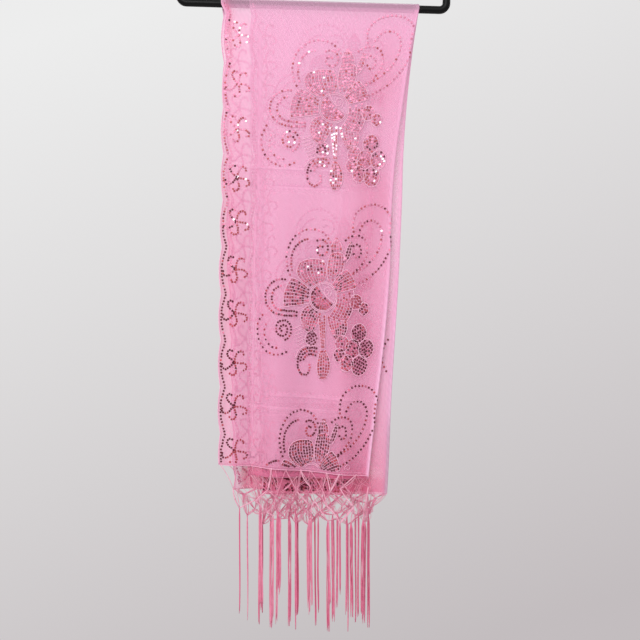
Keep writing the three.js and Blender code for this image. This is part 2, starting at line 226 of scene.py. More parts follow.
# %% From cloth to space
BAR_ARC = 13  # along the cloth, from the top of the bar to where it hangs free
OUTER = {"start": 8.1, "spread": 0.3}  # how far from the bar's centre each half of the cloth hangs
INNER = {"start": 6.8, "spread": -1.7}
SPREAD_OVER = 260
SCALLOP = {"period": 71, "depth": 3.5, "first": 18, "fade": 14}
FRONT_SHIFT = 3  # how far the free edges move in by the hem
BACK_SHIFT = 24
EDGE_TUCK = {"depth": 5, "until": 170, "reach": 60}  # the front free edge, pulled in below the bar


def rank_distance(rank, drop):
    """How far a half of the cloth hangs from the bar's centre plane."""
    return rank["start"] + rank["spread"] * smooth(drop / SPREAD_OVER)


def scallop(drop):
    """The free edges' scallops: depth * (1 - |sin|), deepest in at each notch."""
    phase = (drop - SCALLOP["first"]) / SCALLOP["period"]
    return SCALLOP["depth"] * (1 - np.abs(np.sin(np.pi * phase)))


def spread_across(across, drop, side, radius):
    """The x of a point `across` mm in from the free edge: even between free edge, middle and fold."""
    shift = np.where(side > 0, FRONT_SHIFT, BACK_SHIFT) * smooth(drop / LEVELS[-1, DROP])
    tuck = EDGE_TUCK["depth"] * smooth(drop / 20) * smooth((EDGE_TUCK["until"] - drop) / 90)
    tuck = np.where(side > 0, tuck, 0) * smooth(1 - across / EDGE_TUCK["reach"])
    left = level_at(drop, LEFT) + shift + tuck
    middle = level_at(drop, MIDDLE)
    fold = np.where(side > 0, level_at(drop, FRONT), level_at(drop, BACK)) - radius
    t_left = (across - INSET) / (MIDDLE_ACROSS - INSET)
    t_right = (across - MIDDLE_ACROSS) / (FOLD - MIDDLE_ACROSS)
    inside = np.where(across <= MIDDLE_ACROSS, left + INSET + (middle - left - INSET) * t_left,
                      middle + (fold - middle) * t_right)
    return np.where(across <= INSET, left + across, inside)


print("halfway down, the middle of the front hangs at x =", spread_across(150.0, 350.0, 1, 1.0).round(1))


# %% The cloth's place and facing
def cloth_point(u, w):
    """Where the cloth's point (u, w) hangs, as an (..., 3) array in mm.

    side    = the sign of w, 1 in front
    arc     = a quarter turn over BAR_ARC, the way round the bar
    turn    = (u - FOLD) / radius, a half turn round the lengthwise fold
    x       = spread across + radius * cos(turn) + scallop at the free edges
    y       = -side * distance * sin(arc) + fold depth
    z       = bar height - drop + distance * cos(arc)
    """
    u, w = np.broadcast_arrays(np.asarray(u, float), np.asarray(w, float))
    side = np.where(w < 0, -1.0, 1.0)
    arc = np.clip(np.abs(w) / BAR_ARC, 0, 1) * np.pi / 2
    drop = np.maximum(np.abs(w) - BAR_ARC, 0)
    outer = rank_distance(OUTER, drop)
    inner = rank_distance(INNER, drop)
    radius = (outer - inner) / 2
    past = u - FOLD
    turn = np.clip(past / radius, -np.pi / 2, np.pi / 2)
    rolled = radius * np.pi / 2
    reach = np.where(past < 0, FOLD, FOLD - INSET)
    across = FOLD - np.maximum(np.abs(past) - rolled, 0) * reach / (reach - rolled)
    inset = np.where(past < 0, 0, INSET)
    edge = scallop(drop) * smooth(1 - (across - inset) / SCALLOP["fade"])
    x = spread_across(across, drop, side, radius) + radius * np.cos(turn) + edge
    bunched = gathering(across, drop, past)
    pleats = GATHER["height"] * bunched * np.sin(2 * np.pi * across / GATHER["pleat"])
    distance = (outer + inner) / 2 - radius * np.sin(turn) + crease_height(u, drop, side) + pleats
    y = -side * distance * np.sin(arc) + fold_depth(x, drop)
    z = bar_height(LEFT_TOP + across) - drop + distance * np.cos(arc)
    return np.stack([x, y, z], -1)


def cloth_facing(u, w):
    """The unit normal on the cloth's right side: dP/dw x dP/du, by central differences."""
    step = 0.4
    along_u = cloth_point(u + step, w) - cloth_point(u - step, w)
    along_w = cloth_point(u, w + step) - cloth_point(u, w - step)
    normal = np.cross(along_w, along_u)
    return normal / np.linalg.norm(normal, axis=-1, keepdims=True)


print("top of the cloth:", cloth_point(150.0, 0.0).round(1), "faces", cloth_facing(150.0, 300.0).round(2))

# %% [markdown]
# ## Meshes from arrays
# Blender's own tools could model each piece by hand, but there are thousands of small ones. So every
# piece is points and four-cornered faces worked out as whole arrays, which takes a few seconds. A
# cord, a stitch, a yarn and the hanger's tube are all one form: an oval carried along a path.

# %% Pieces and tubes
def make_piece(name, points, quads, material, smooth_faces=True, **per_point):
    """An object from (n, 3) points in mm and (m, 4) corners, with named point attributes."""
    mesh = bpy.data.meshes.new(name)
    mesh.vertices.add(len(points))
    mesh.vertices.foreach_set("co", (points * MM).astype(np.float32).ravel())
    mesh.loops.add(quads.size)
    mesh.loops.foreach_set("vertex_index", quads.astype(np.int32).ravel())
    mesh.polygons.add(len(quads))
    mesh.polygons.foreach_set("loop_start", np.arange(0, quads.size, 4, dtype=np.int32))
    mesh.polygons.foreach_set("use_smooth", np.zeros(len(quads), bool) | smooth_faces)
    for key, values in per_point.items():
        is_colour = np.ndim(values) == 2
        layer = mesh.attributes.new(key, "FLOAT_COLOR" if is_colour else "FLOAT", "POINT")
        layer.data.foreach_set("color" if is_colour else "value", values.astype(np.float32).ravel())
    mesh.update(calc_edges=True)
    mesh.validate()
    mesh.materials.append(material)
    piece = bpy.data.objects.new(name, mesh)
    scene.collection.objects.link(piece)
    print(name, "has", len(points), "points and", 2 * len(quads), "triangles")
    return piece


def grid_quads(rows, columns, wrap_columns=False, wrap_rows=False):
    """Corner numbers for the cells of a rows x columns grid of points."""
    r = np.arange(rows if wrap_rows else rows - 1)[:, None]
    c = np.arange(columns if wrap_columns else columns - 1)[None, :]
    r2 = (r + 1) % rows
    c2 = (c + 1) % columns
    cells = [r * columns + c, r2 * columns + c, r2 * columns + c2, r * columns + c2]
    return np.stack(np.broadcast_arrays(*cells), -1).reshape(-1, 4)


def tube(path, facing, half_width, half_height=None, sides=6, loop=False):
    """An oval along a path: p + half_width * cos(k) * b - half_height * sin(k) * m, where t is the
    path's direction, b = t x facing and m = b x t. Both ends are closed by flat faces."""
    path = np.asarray(path, float)
    count = len(path)
    half_height = half_width if half_height is None else half_height
    ahead = np.roll(path, -1, 0) if loop else np.vstack([path[1:], path[-1:]])
    behind = np.roll(path, 1, 0) if loop else np.vstack([path[:1], path[:-1]])
    t = ahead - behind
    t /= np.linalg.norm(t, axis=1, keepdims=True)
    b = np.cross(t, np.broadcast_to(facing, path.shape))
    b /= np.linalg.norm(b, axis=1, keepdims=True)
    m = np.cross(b, t)
    k = np.arange(sides) * 2 * np.pi / sides
    wide = np.broadcast_to(half_width, count)[:, None, None] * np.cos(k)[:, None]
    high = np.broadcast_to(half_height, count)[:, None, None] * np.sin(k)[:, None]
    points = path[:, None] + wide * b[:, None] - high * m[:, None]
    quads = grid_quads(count, sides, wrap_columns=True, wrap_rows=loop)[:, ::-1]
    if not loop:
        fan = np.array([(0, i, i + 1, i + 2) for i in range(1, sides - 1, 2)])
        quads = np.vstack([quads, fan[:, ::-1], fan + (count - 1) * sides])
    return points.reshape(-1, 3), quads


def join(parts):
    """Several (points, quads) as one, with the later corners counted on from the earlier points."""
    starts = np.cumsum([0] + [len(points) for points, _ in parts[:-1]])
    quads = np.vstack([q + start for (_, q), start in zip(parts, starts)])
    return np.vstack([points for points, _ in parts]), quads


def spaced(curve, pitch):
    """Points about `pitch` apart along a curve, by linear interpolation of its running length."""
    curve = np.asarray(curve, float)
    run = np.concatenate([[0], np.cumsum(np.linalg.norm(np.diff(curve, axis=0), axis=1))])
    count = max(2, int(round(run[-1] / pitch)) + 1)
    at = np.linspace(0, run[-1], count)
    return np.stack([np.interp(at, run, curve[:, i]) for i in range(curve.shape[1])], -1)


print("a line 10 mm long with points 2 mm apart has", len(spaced([(0, 0), (10, 0)], 2)), "points")

# %% A node with its settings and links
def add_node(tree, kind, inputs=(), **settings):
    """Adds a shader node, sets its properties, and sets or links each named input."""
    made = tree.nodes.new("ShaderNode" + kind)
    for key, value in settings.items():
        setattr(made, key, value)
    for socket, value in dict(inputs).items():
        if isinstance(value, bpy.types.NodeSocket):
            tree.links.new(value, made.inputs[socket])
        else:
            made.inputs[socket].default_value = value
    return made


def new_material(name):
    """A named material with its output and shader in place: (material, tree, shader)."""
    material = bpy.data.materials.new(name)
    material.use_nodes = True
    tree = material.node_tree
    return material, tree, tree.nodes["Principled BSDF"]


def wave_scale(period):
    """The Wave texture's scale for bands `period` mm apart on coordinates in metres: 0.1 pi / period."""
    return 0.1 * np.pi / (period * MM)


print("bands 1 mm apart need a wave scale of", round(wave_scale(1.0), 1))

# %% [markdown]
# ## Sheer woven polyester
# The cloth is a very open plain weave of smooth pink filament yarn. One leaf hides less than half of
# what is behind it, and four together look nearly solid, so the colour deepens wherever leaves
# overlap. Glass-like transmission would bend the view through it, and a single flat alpha would look
# like film, so the shader's alpha follows the threads, the pressed creases and the doubled edges.
# The real threads are 0.15 mm apart, finer than any view of the whole shawl shows. They are drawn
# 1.1 mm apart, and the watered bands that two such weaves make together are drawn over them.

# %% The cloth's finish
CLOTH_PALE = "#fdc0e2"
CLOTH_DEEP = "#ee6f9e"
WEAVE = 1.1
WATERED = 7.5
# Painted shade: the pink is mixed towards this grey over the dark bar, along the scalloped edge and beside
# the back pair's fold.
SHADE_GREY = "#84787f"  # what the pink greys towards, on the dark bar and in the last fold's shade


def sheer_cloth():
    """Alpha = cover * weave * watering * slubs. Colour runs from pale to deep pink by `deep` and slubs,
    which paint light and shade, and then greys by a second attribute, which paints shade.
    """
    material, tree, shader = new_material("Sheer_woven_polyester")
    measure = add_node(tree, "UVMap", uv_map="cloth")
    warp = add_node(tree, "TexWave", {"Vector": measure.outputs["UV"], "Scale": wave_scale(WEAVE)},
                    bands_direction="X")
    weft = add_node(tree, "TexWave", {"Vector": measure.outputs["UV"], "Scale": wave_scale(WEAVE)},
                    bands_direction="Y")
    weave = add_node(tree, "Math", {0: warp.outputs["Fac"], 1: weft.outputs["Fac"]}, operation="ADD")
    slanted = add_node(tree, "Mapping", {"Vector": measure.outputs["UV"], "Rotation": (0, 0, 0.6)})
    watered = add_node(tree, "TexWave", {"Vector": slanted.outputs["Vector"],
                                         "Scale": wave_scale(WATERED), "Distortion": 2.5,
                                         "Detail Scale": 0.6}, bands_direction="X")
    stretched = add_node(tree, "Mapping", {"Vector": measure.outputs["UV"], "Scale": (90, 9, 1)})
    slubs = add_node(tree, "TexNoise", {"Vector": stretched.outputs["Vector"], "Scale": 1.0,
                                        "Detail": 3.0})
    cover = add_node(tree, "Attribute", attribute_name="cover")
    weave_part = add_node(tree, "MapRange", {"Value": weave.outputs[0], "From Max": 2.0,
                                             "To Min": 0.95, "To Max": 1.05})
    water_part = add_node(tree, "MapRange", {"Value": watered.outputs["Fac"], "To Min": 0.95,
                                             "To Max": 1.05})
    slub_part = add_node(tree, "MapRange", {"Value": slubs.outputs["Fac"], "To Min": 0.93,
                                            "To Max": 1.07})
    alpha = cover.outputs["Fac"]
    for part in (weave_part, water_part, slub_part):
        alpha = add_node(tree, "Math", {0: alpha, 1: part.outputs[0]}, operation="MULTIPLY").outputs[0]
    # painted light and shade: how deep the pink looks
    deep = add_node(tree, "Attribute", attribute_name="deep")
    uneven = add_node(tree, "MapRange", {"Value": slubs.outputs["Fac"], "To Min": -0.12, "To Max": 0.12})
    depth = add_node(tree, "Math", {0: deep.outputs["Fac"], 1: uneven.outputs[0]}, operation="ADD",
                     use_clamp=True)
    painted_pink = add_node(tree, "Mix", {"Factor": depth.outputs[0], "A": linear(CLOTH_PALE),
                                  "B": linear(CLOTH_DEEP)}, data_type="RGBA")
    # painted shade: how far the pink greys
    dull = add_node(tree, "Attribute", attribute_name="dull")
    tint = add_node(tree, "Mix", {"Factor": dull.outputs["Fac"], "A": painted_pink.outputs["Result"],
                                  "B": linear(SHADE_GREY)}, data_type="RGBA")
    relief = add_node(tree, "Bump", {"Height": weave.outputs[0], "Strength": 0.1, "Distance": 0.0001})
    tree.links.new(tint.outputs["Result"], shader.inputs["Base Color"])
    tree.links.new(alpha, shader.inputs["Alpha"])
    tree.links.new(relief.outputs["Normal"], shader.inputs["Normal"])
    shader.inputs["Roughness"].default_value = 0.55
    shader.inputs["IOR"].default_value = 1.5
    shader.inputs["Sheen Weight"].default_value = 0.25
    shader.inputs["Sheen Roughness"].default_value = 0.4
    return material


cloth_finish = sheer_cloth()
print("the cloth's material has", len(cloth_finish.node_tree.nodes), "nodes")

# %% [markdown]
# ### How much it hides, and how deep its pink is
# Each face of the cloth hides the same share of what is behind it, and more where thread or cloth is
# doubled: at the bound edge and the hem, down the fold, on a pressed crease, under the embroidered
# border and where the corner is gathered. The pink is one dye; how deep it looks is painted light and
# shade: deeper downwards, in shaded patches and under the front hem, paler along the fold, where the
# doubled cloth is also really paler, and on the back pair, and greyed over the dark bar, along the
# scalloped edge and by the back pair's fold. A point of the cloth carries each of these as a number,
# and the material reads them, which keeps the measures in mm and out of the shader.

# %% How much the cloth hides
FACE_COVER = 0.285  # the alpha of each face of the cloth
MORE_COVER = {"bound": 0.10, "hem": 0.08, "fold": 0.15, "low_fold": 0.45, "crease": 0.2, "border": 0.16,
              "gathered": 0.5, "on_bar": -0.03, "behind": 0.2, "beside": 0.07}
BORDER_WIDTH = 50
# The paler part is partly a painted highlight.
FOLD_GLOW = 3.2  # how far from the fold its doubled cloth looks denser and paler
LEAF_ENDS = {"start": 698, "fade": 14}  # where the hidden leaves' ends begin, just above the front hem
BACK_START = {"edge": 702, "more": 10}  # the same on the back outer leaf: it follows the front hem
END_REACH = {"back_inner": 280, "others": 330}  # how far across the ends show, 303 being the fold
INNER_PART = 0.45  # how much the front inner half's end counts against the back pair's
BESIDE = {"across": 60, "from": 420, "over": 120, "until": 712}  # where the back pair shows by itself
BOUND_WIDTH = 2.5
LOWER = {"from": 360, "over": 150}


def beside_fold(past, width):
    """How close to the rolled fold, 1 to 0: exp(-(beyond / width)^2), beyond the roll's own 2.5 mm."""
    beyond = np.maximum(np.abs(past) - 2.5, 0)
    return np.exp(-((beyond / width) ** 2))


def lower_half(drop):
    """0 in the upper half of a leaf and 1 in the lower, changing gently between them."""
    return smooth((drop - LOWER["from"]) / LOWER["over"])


def behind_hem(across, drop, side, past):
    """The ends that show under the front hem, 0 to 1: the other three leaves' last few centimetres."""
    hidden = (side < 0) | (past > 0)
    reach = np.where((side < 0) & (past > -4), END_REACH["back_inner"], END_REACH["others"])
    back_start = BACK_START["edge"] + BACK_START["more"] * smooth(across / FOLD)
    start = np.where((side < 0) & (past < 0), back_start, LEAF_ENDS["start"])
    most = np.where(side < 0, 1.0, INNER_PART)
    fade = LEAF_ENDS["fade"]
    within = smooth((drop - start) / fade) * smooth((across - 6) / fade) * smooth((reach - across) / 20)
    return np.where(hidden, most * within, 0)


def thread_cover(across, drop, side, from_edge, from_hem, past, creased):
    """How much of what is behind it each face hides: FACE_COVER, and each part of MORE_COVER where
    that part is, from the bound edge to the back pair's strip beside the front one."""
    more = MORE_COVER
    hemmed = more["hem"] * smooth(1.6 - from_hem / 5)  # whole up to 3 mm from the hem, none from 8 mm
    bound = more["bound"] * np.exp(-((from_edge / BOUND_WIDTH) ** 2)) + hemmed
    folded = (more["fold"] + more["low_fold"] * lower_half(drop)) * beside_fold(past, FOLD_GLOW)
    border = np.where((past < 0) & (side > 0), smooth((BORDER_WIDTH - across) / 10), 0)
    border = more["border"] * border * smooth(drop / 200 + 0.35)
    pulled = more["on_bar"] * smooth(1 - drop / 12) + more["gathered"] * gathering(across, drop, past)
    beside = smooth((drop - BESIDE["from"]) / BESIDE["over"]) * smooth((BESIDE["until"] - drop) / 12)
    beside = np.where((side < 0) & (across > BESIDE["across"]), beside, 0)
    hidden = more["behind"] * behind_hem(across, drop, side, past) + more["beside"] * beside
    cover = FACE_COVER + bound + folded + more["crease"] * creased + border + pulled + hidden
    return np.clip(cover, 0, 0.9)


print("one leaf of plain cloth hides", round(1 - (1 - FACE_COVER) ** 2, 2), "of what is behind it")

# %% How deep the pink looks
# Painted light and shade in the pink's depth: DEEPER deepens it downwards, ROSY in shaded patches such as
# the gathered pleats at the corner, FOLD_FOOT towards the lower corner by the fold, and PALER lightens the
# fold, partly as the doubled cloth's own paleness, and the back pair.
DEEPER = {"drop": (0, 200, 370, 570, 650, 720), "deep": (0.0, 0.09, 0.13, 0.17, 0.23, 0.42)}
ROSY = [  # across, drop, half width, half height, how much: patches where the pink is painted deeper
    (262, 110, 34, 60, 0.24), (235, 250, 30, 30, 0.22), (245, 440, 42, 130, 0.30), (4, 60, 16, 90, 0.30),
    (10, 30, 3.5, 45, 0.50), (5, 420, 14, 260, 0.35), (24, 400, 26, 330, 0.26), (262, 300, 30, 60, 0.16),
    (229, 243, 10, 11, 0.50), (256, 530, 26, 34, 0.30), (286, 285, 12, 40, 0.14),
]
FOLD_FOOT = {"more": 0.2, "across": 190, "drop": 560}  # the pink deepens towards this corner
PALER = {"fold": 0.2, "low_fold": 0.4, "back": 0.06}
# Painted shade: how far the pink greys over the bar, along the scalloped edge and by the back fold.
SHADE_GREYING = {"bar": 0.32, "edge_shade": 0.1, "fold": 0.14, "fold_foot": 0.30}
BAR_UNTIL = 3  # the dark bar lies right under the cloth down to here


def painted_pink_depth(across, drop, side, past):
    """How deep the pink is painted, 0 to 1: painted shade deeper downwards, in the patches of ROSY
    and most under the front hem, and a painted highlight pale along the fold and on the back pair."""
    near_fold = smooth((across - FOLD_FOOT["across"]) / 80)
    low = FOLD_FOOT["more"] * near_fold * smooth((drop - FOLD_FOOT["drop"]) / 120)
    depth = np.interp(drop, DEEPER["drop"], DEEPER["deep"]) + low
    for a, d, half_across, half_drop, more in ROSY:
        away = ((across - a) / half_across) ** 2 + ((drop - d) / half_drop) ** 2
        depth = depth + np.where(side > 0, more * np.exp(-away), 0)
    paler = (PALER["fold"] + PALER["low_fold"] * lower_half(drop)) * beside_fold(past, FOLD_GLOW)
    paler = paler + PALER["back"] * (side < 0)
    return np.clip(depth + behind_hem(across, drop, side, past) - paler, 0, 1)


def dullness(across, drop, side, past):
    """How much painted shade greys the pink, 0 to 1: over the dark bar, where no light comes
    through from behind, along the scalloped edge, and in the shade of the back pair's own fold."""
    # painted shade along the scalloped edge
    edge_shade = np.where((side > 0) & (past < 0), SHADE_GREYING["edge_shade"] * smooth((15 - across) / 6), 0)
    folded = SHADE_GREYING["fold"] * smooth((drop - 470) / 60) + SHADE_GREYING["fold_foot"] * smooth((drop - 610) / 50)
    shaded = np.where(side < 0, folded * smooth((7 - np.abs(past)) / 3), 0)
    on_bar = SHADE_GREYING["bar"] * (drop < BAR_UNTIL)
    return on_bar + (edge_shade + shaded) * smooth((drop - 40) / 80)


print("the pink's depth halfway down is", painted_pink_depth(150.0, 350.0, 1, -150.0).round(2))

# %% The cloth's lines
COLUMN = 5.2  # spacing of the cloth's points, closer at the edges, the fold and the creases
ROW = 5.2


def across_lines():
    """The u of the cloth's lengthwise lines: an outer half, and the inner half as its mirror."""
    near_edge = np.arange(0, 18, 1.4)
    even = np.arange(18.5, 297, COLUMN)
    pressed = np.array([52.5, 53.8, 55, 56.2, 57.5])
    rolled = FOLD - np.array([4.5, 2.8, 2.1, 1.4, 0.7, 0])
    outer = np.concatenate([near_edge, even[np.abs(even - 55) > 4], pressed, rolled])
    inner_edge = INSET + np.array([0, 1.5, 3, 5, 8, 11])
    inner_even = np.arange(INSET + 14.5, 297, COLUMN)
    inner = 2 * FOLD - np.concatenate([inner_edge, inner_even, rolled[:-1]])
    return np.sort(np.concatenate([outer, inner]))


def along_lines(side):
    """The crosswise lines of one end from where it hangs free, as levels: even, and three a crease."""
    even = np.arange(4, LEVEL_LENGTH, ROW)
    pressed = np.array([d0 for face, a0, d0, a1, d1, half, height in CREASES if face == side and d0 == d1])
    near = np.abs(even[:, None] - pressed).min(1) < 3.4
    three_each = [pressed + off for off in (-1.3, 0, 1.3)]
    return np.sort(np.concatenate([even[~near], *three_each, [LEVEL_LENGTH]]))


print("lengthwise lines:", len(across_lines()), "and crosswise ones in front:", len(along_lines(1)))

# %% The cloth
CLOTH_THICKNESS = 0.35


def make_cloth():
    """The one surface that the whole shawl is made of, with its cover, its painted light and shade of
    pink, and its flat measure.
    """
    u = across_lines()
    front = along_lines(1)[:, None] / LEVEL_LENGTH * hem_drop(u, 1) + BAR_ARC
    back = along_lines(-1)[::-1, None] / LEVEL_LENGTH * hem_drop(u, -1) + BAR_ARC
    over_bar = np.linspace(-BAR_ARC, BAR_ARC, 11)[:, None] + 0 * u
    ww = np.vstack([-back, over_bar, front])
    uu = np.broadcast_to(u, ww.shape)
    side = np.sign(ww)
    drop = np.maximum(np.abs(ww) - BAR_ARC, 0)
    across = np.where(uu < FOLD, uu, 2 * FOLD - uu)
    from_edge = np.where(uu < FOLD, uu, WIDTH - uu)
    from_hem = BAR_ARC + hem_drop(uu, side) - np.abs(ww)
    creased = np.abs(crease_height(uu, drop, side))
    past = uu - FOLD
    cover = thread_cover(across, drop, side, from_edge, from_hem, past, creased)
    # painted light and shade: how deep the pink looks
    deep = painted_pink_depth(across, drop, side, past)
    # painted shade that greys the pink
    dull = dullness(across, drop, side, past)
    points = cloth_point(uu, ww).reshape(-1, 3)
    piece = make_piece("shawl_cloth", points, grid_quads(len(ww), len(u)), cloth_finish,
                       cover=cover.ravel(), dull=dull.ravel(), deep=deep.ravel())
    flat = np.stack([uu, ww], -1).reshape(-1, 2) * MM
    corners = np.zeros(len(piece.data.loops), np.int32)
    piece.data.loops.foreach_get("vertex_index", corners)
    layer = piece.data.uv_layers.new(name="cloth")
    layer.data.foreach_set("uv", flat[corners].astype(np.float32).ravel())
    wall = piece.modifiers.new("thickness", "SOLIDIFY")
    wall.thickness = CLOTH_THICKNESS * MM
    wall.offset = 0
    cut_length = 2 * BAR_ARC + HEMS[1]["outer"][0] + HEMS[-1]["outer"][0]
    return piece, (round(WIDTH * MM, 3), round(cut_length * MM, 3))


cloth, cut = make_cloth()
print("the cloth is cut", cut)

# %% [markdown]
# ## Bound edges
# An overlock machine covers the scalloped edges, and the hems are rolled and stitched. Both are pale
# satin thread that stands out as a light line. A light band in the cloth's material would look
# printed on, so each is a flat cord of its own, carried along the cloth's edge.

# %% Thread finish and edge cords
THREAD_PINK = "#f8c0d9"
EDGE_IN = 0.4  # from a cut edge to the middle of its cord
LONG_CORDS = ((EDGE_IN, 0, 0.8), (WIDTH - EDGE_IN, 1, 0.5))  # u, which half's hem ends it, half width
HEM_CORDS = ((1, 0.3, 0.5), (1, 4.2, 0.2), (-1, 0.3, 0.3))  # end, above the hem, half width


def satin_thread(name, pale, deep, roughness):
    """Twisted satin yarn: two shades by noise and by the yarn's own attribute, with a fine twist."""
    material, tree, shader = new_material(name)
    place = add_node(tree, "TexCoord")
    mottle = add_node(tree, "TexNoise", {"Vector": place.outputs["Object"], "Scale": 160.0, "Detail": 2.0})
    twist = add_node(tree, "TexWave", {"Vector": place.outputs["Object"], "Scale": wave_scale(1.6)},
                     bands_direction="DIAGONAL")
    shade = add_node(tree, "Attribute", attribute_name="shade")
    factor = add_node(tree, "Math", {0: mottle.outputs["Fac"], 1: shade.outputs["Fac"]}, operation="ADD")
    spread = add_node(tree, "MapRange", {"Value": factor.outputs[0], "From Min": 0.3, "From Max": 1.4})
    tint = add_node(tree, "Mix", {"Factor": spread.outputs[0], "A": linear(pale), "B": linear(deep)},
                    data_type="RGBA")
    relief = add_node(tree, "Bump", {"Height": twist.outputs["Fac"], "Strength": 0.5, "Distance": 0.0003})
    tree.links.new(tint.outputs["Result"], shader.inputs["Base Color"])
    tree.links.new(relief.outputs["Normal"], shader.inputs["Normal"])
    shader.inputs["Roughness"].default_value = roughness
    shader.inputs["IOR"].default_value = 1.5
    shader.inputs["Sheen Weight"].default_value = 0.3
    return material


thread_finish = satin_thread("Satin_embroidery_thread", THREAD_PINK, "#ee98bd", 0.5)


def on_cloth(flat, lift):
    """Points (u, w) laid on the cloth's right side, `lift` mm above its surface, and their facing."""
    facing = cloth_facing(flat[:, 0], flat[:, 1])
    surface = cloth_point(flat[:, 0], flat[:, 1])
    return surface + facing * (CLOTH_THICKNESS / 2 + lift), facing


def stitched_cord(flat, half_width, half_height, sides=4):
    """A flat cord that follows the cloth through the points (u, w)."""
    path, facing = on_cloth(flat, half_height * 0.6)
    return tube(path, facing, half_width, half_height, sides)


def edge_cords():
    """The overlocked long edges and the rolled hems, a little way in from the cut."""
    front_end = BAR_ARC + hem_drop(np.array([0.0, WIDTH]), 1)
    back_end = BAR_ARC + hem_drop(np.array([0.0, WIDTH]), -1)
    parts = []
    for u, end, half in LONG_CORDS:
        w = np.arange(-back_end[end], front_end[end], 2.6)
        parts.append(stitched_cord(np.stack([np.full_like(w, u), w], -1), half, 0.45, 6))
    across = np.arange(0.5, WIDTH - EDGE_IN, 2.2)
    for side, lift, half in HEM_CORDS:  # the front roll, its line of stitches, the back roll
        w = side * (BAR_ARC + hem_drop(across, side) - lift)
        parts.append(stitched_cord(np.stack([across, w], -1), half, 0.4, 6))
    return join(parts)


points, quads = edge_cords()
edging = make_piece("shawl_edging", points, quads, thread_finish, shade=np.full(len(points), 0.15))

# %% [markdown]
# ## The embroidery's drawing
# The flower is a common evening-shawl motif: a ring, lobed petals filled with rows of sequins, a
# hanging bud and leaves, and long loose scrolls. It is drawn here from scratch, in mm about the
# ring's centre, with arcs and spirals, Bezier curves, and petals ruled between two curves. Every line
# says how far apart its sequins are, or 0 where it is thread alone, and how dark they are.

# %% Lines to draw with
SOFT, PLAIN, DARK, BROWN, RIB = range(5)  # how dark a part's sequins are; a rib is fine thread alone
LOOSE = 7.0  # sequin spacing on the widest scrolls
CLOSE = 4.8
LOBE_ROW = 4.6  # between a lobe's rows


def scroll(cx, cy, start_radius, end_radius, start, end, tall=1.0, lean=0):
    """An arc or a spiral: centre + r (cos a, tall * sin a), turned by lean, while r and a run evenly."""
    a = np.radians(np.linspace(start, end, 120))
    r = np.linspace(start_radius, end_radius, 120)
    x = r * np.cos(a)
    y = r * np.sin(a) * tall
    c, s = np.cos(np.radians(lean)), np.sin(np.radians(lean))
    return np.stack([cx + x * c - y * s, cy + x * s + y * c], -1)


def bezier(*knots):
    """Cubic Bezier curves joined end to end: (1-t)^3 p0 + 3(1-t)^2 t p1 + 3(1-t) t^2 p2 + t^3 p3."""
    k = np.array(knots, float)
    t = np.linspace(0, 1, 60)[:, None]
    runs = [(1 - t) ** 3 * k[i] + 3 * (1 - t) ** 2 * t * k[i + 1] + 3 * (1 - t) * t ** 2 * k[i + 2]
            + t ** 3 * k[i + 3] for i in range(0, len(k) - 1, 3)]
    return np.vstack(runs)


def fan(edge_a, edge_b, rows, tone, bulge=3.0):
    """A petal ruled between two Bezier edges: row s is (1 - s) a(t) + s b(t), reaching bulge * 4 s (1 - s)
    t^2 further out, so the tip is round. Every second row starts later, as the root is narrow."""
    a, b = bezier(*edge_a), bezier(*edge_b)
    out = a[-1] - a[0] + b[-1] - b[0]
    out /= np.linalg.norm(out)
    t = np.linspace(0, 1, len(a))[:, None]

    def row(s):
        return (1 - s) * a + s * b + out * bulge * 4 * s * (1 - s) * t ** 2

    tip = np.vstack([row(s)[-1] for s in np.linspace(0, 1, 12)])
    lines = [(np.vstack([a, tip, b[::-1]]), 0, tone)]
    for i in range(rows):
        lines.append((row((i + 0.5) / rows)[3 + 11 * (i % 2):57], CLOSE, tone))
    return lines + [(row(i / rows)[6:57], 0, RIB) for i in range(1, rows)]


def lobe(cx, cy, radius, lean, tone):
    """A small rounded lobe: a thread outline and chords of sequins across it."""
    lines = [(scroll(cx, cy, radius + 1.8, radius + 1.8, 0, 360), 0, tone)]
    c, s = np.cos(np.radians(lean)), np.sin(np.radians(lean))
    for i, off in enumerate(np.arange(-radius + 1.4, radius, LOBE_ROW)):
        half = np.sqrt(max(radius ** 2 - off ** 2, 2.0)) - 0.6
        chord = np.array([(2.4 * (i % 2) - half, off), (half, off)])
        lines.append((chord @ np.array([(c, s), (-s, c)]) + (cx, cy), CLOSE, tone))
    return lines


print("a lobe of radius 10 has", len(lobe(0, 0, 10, 0, PLAIN)), "lines")

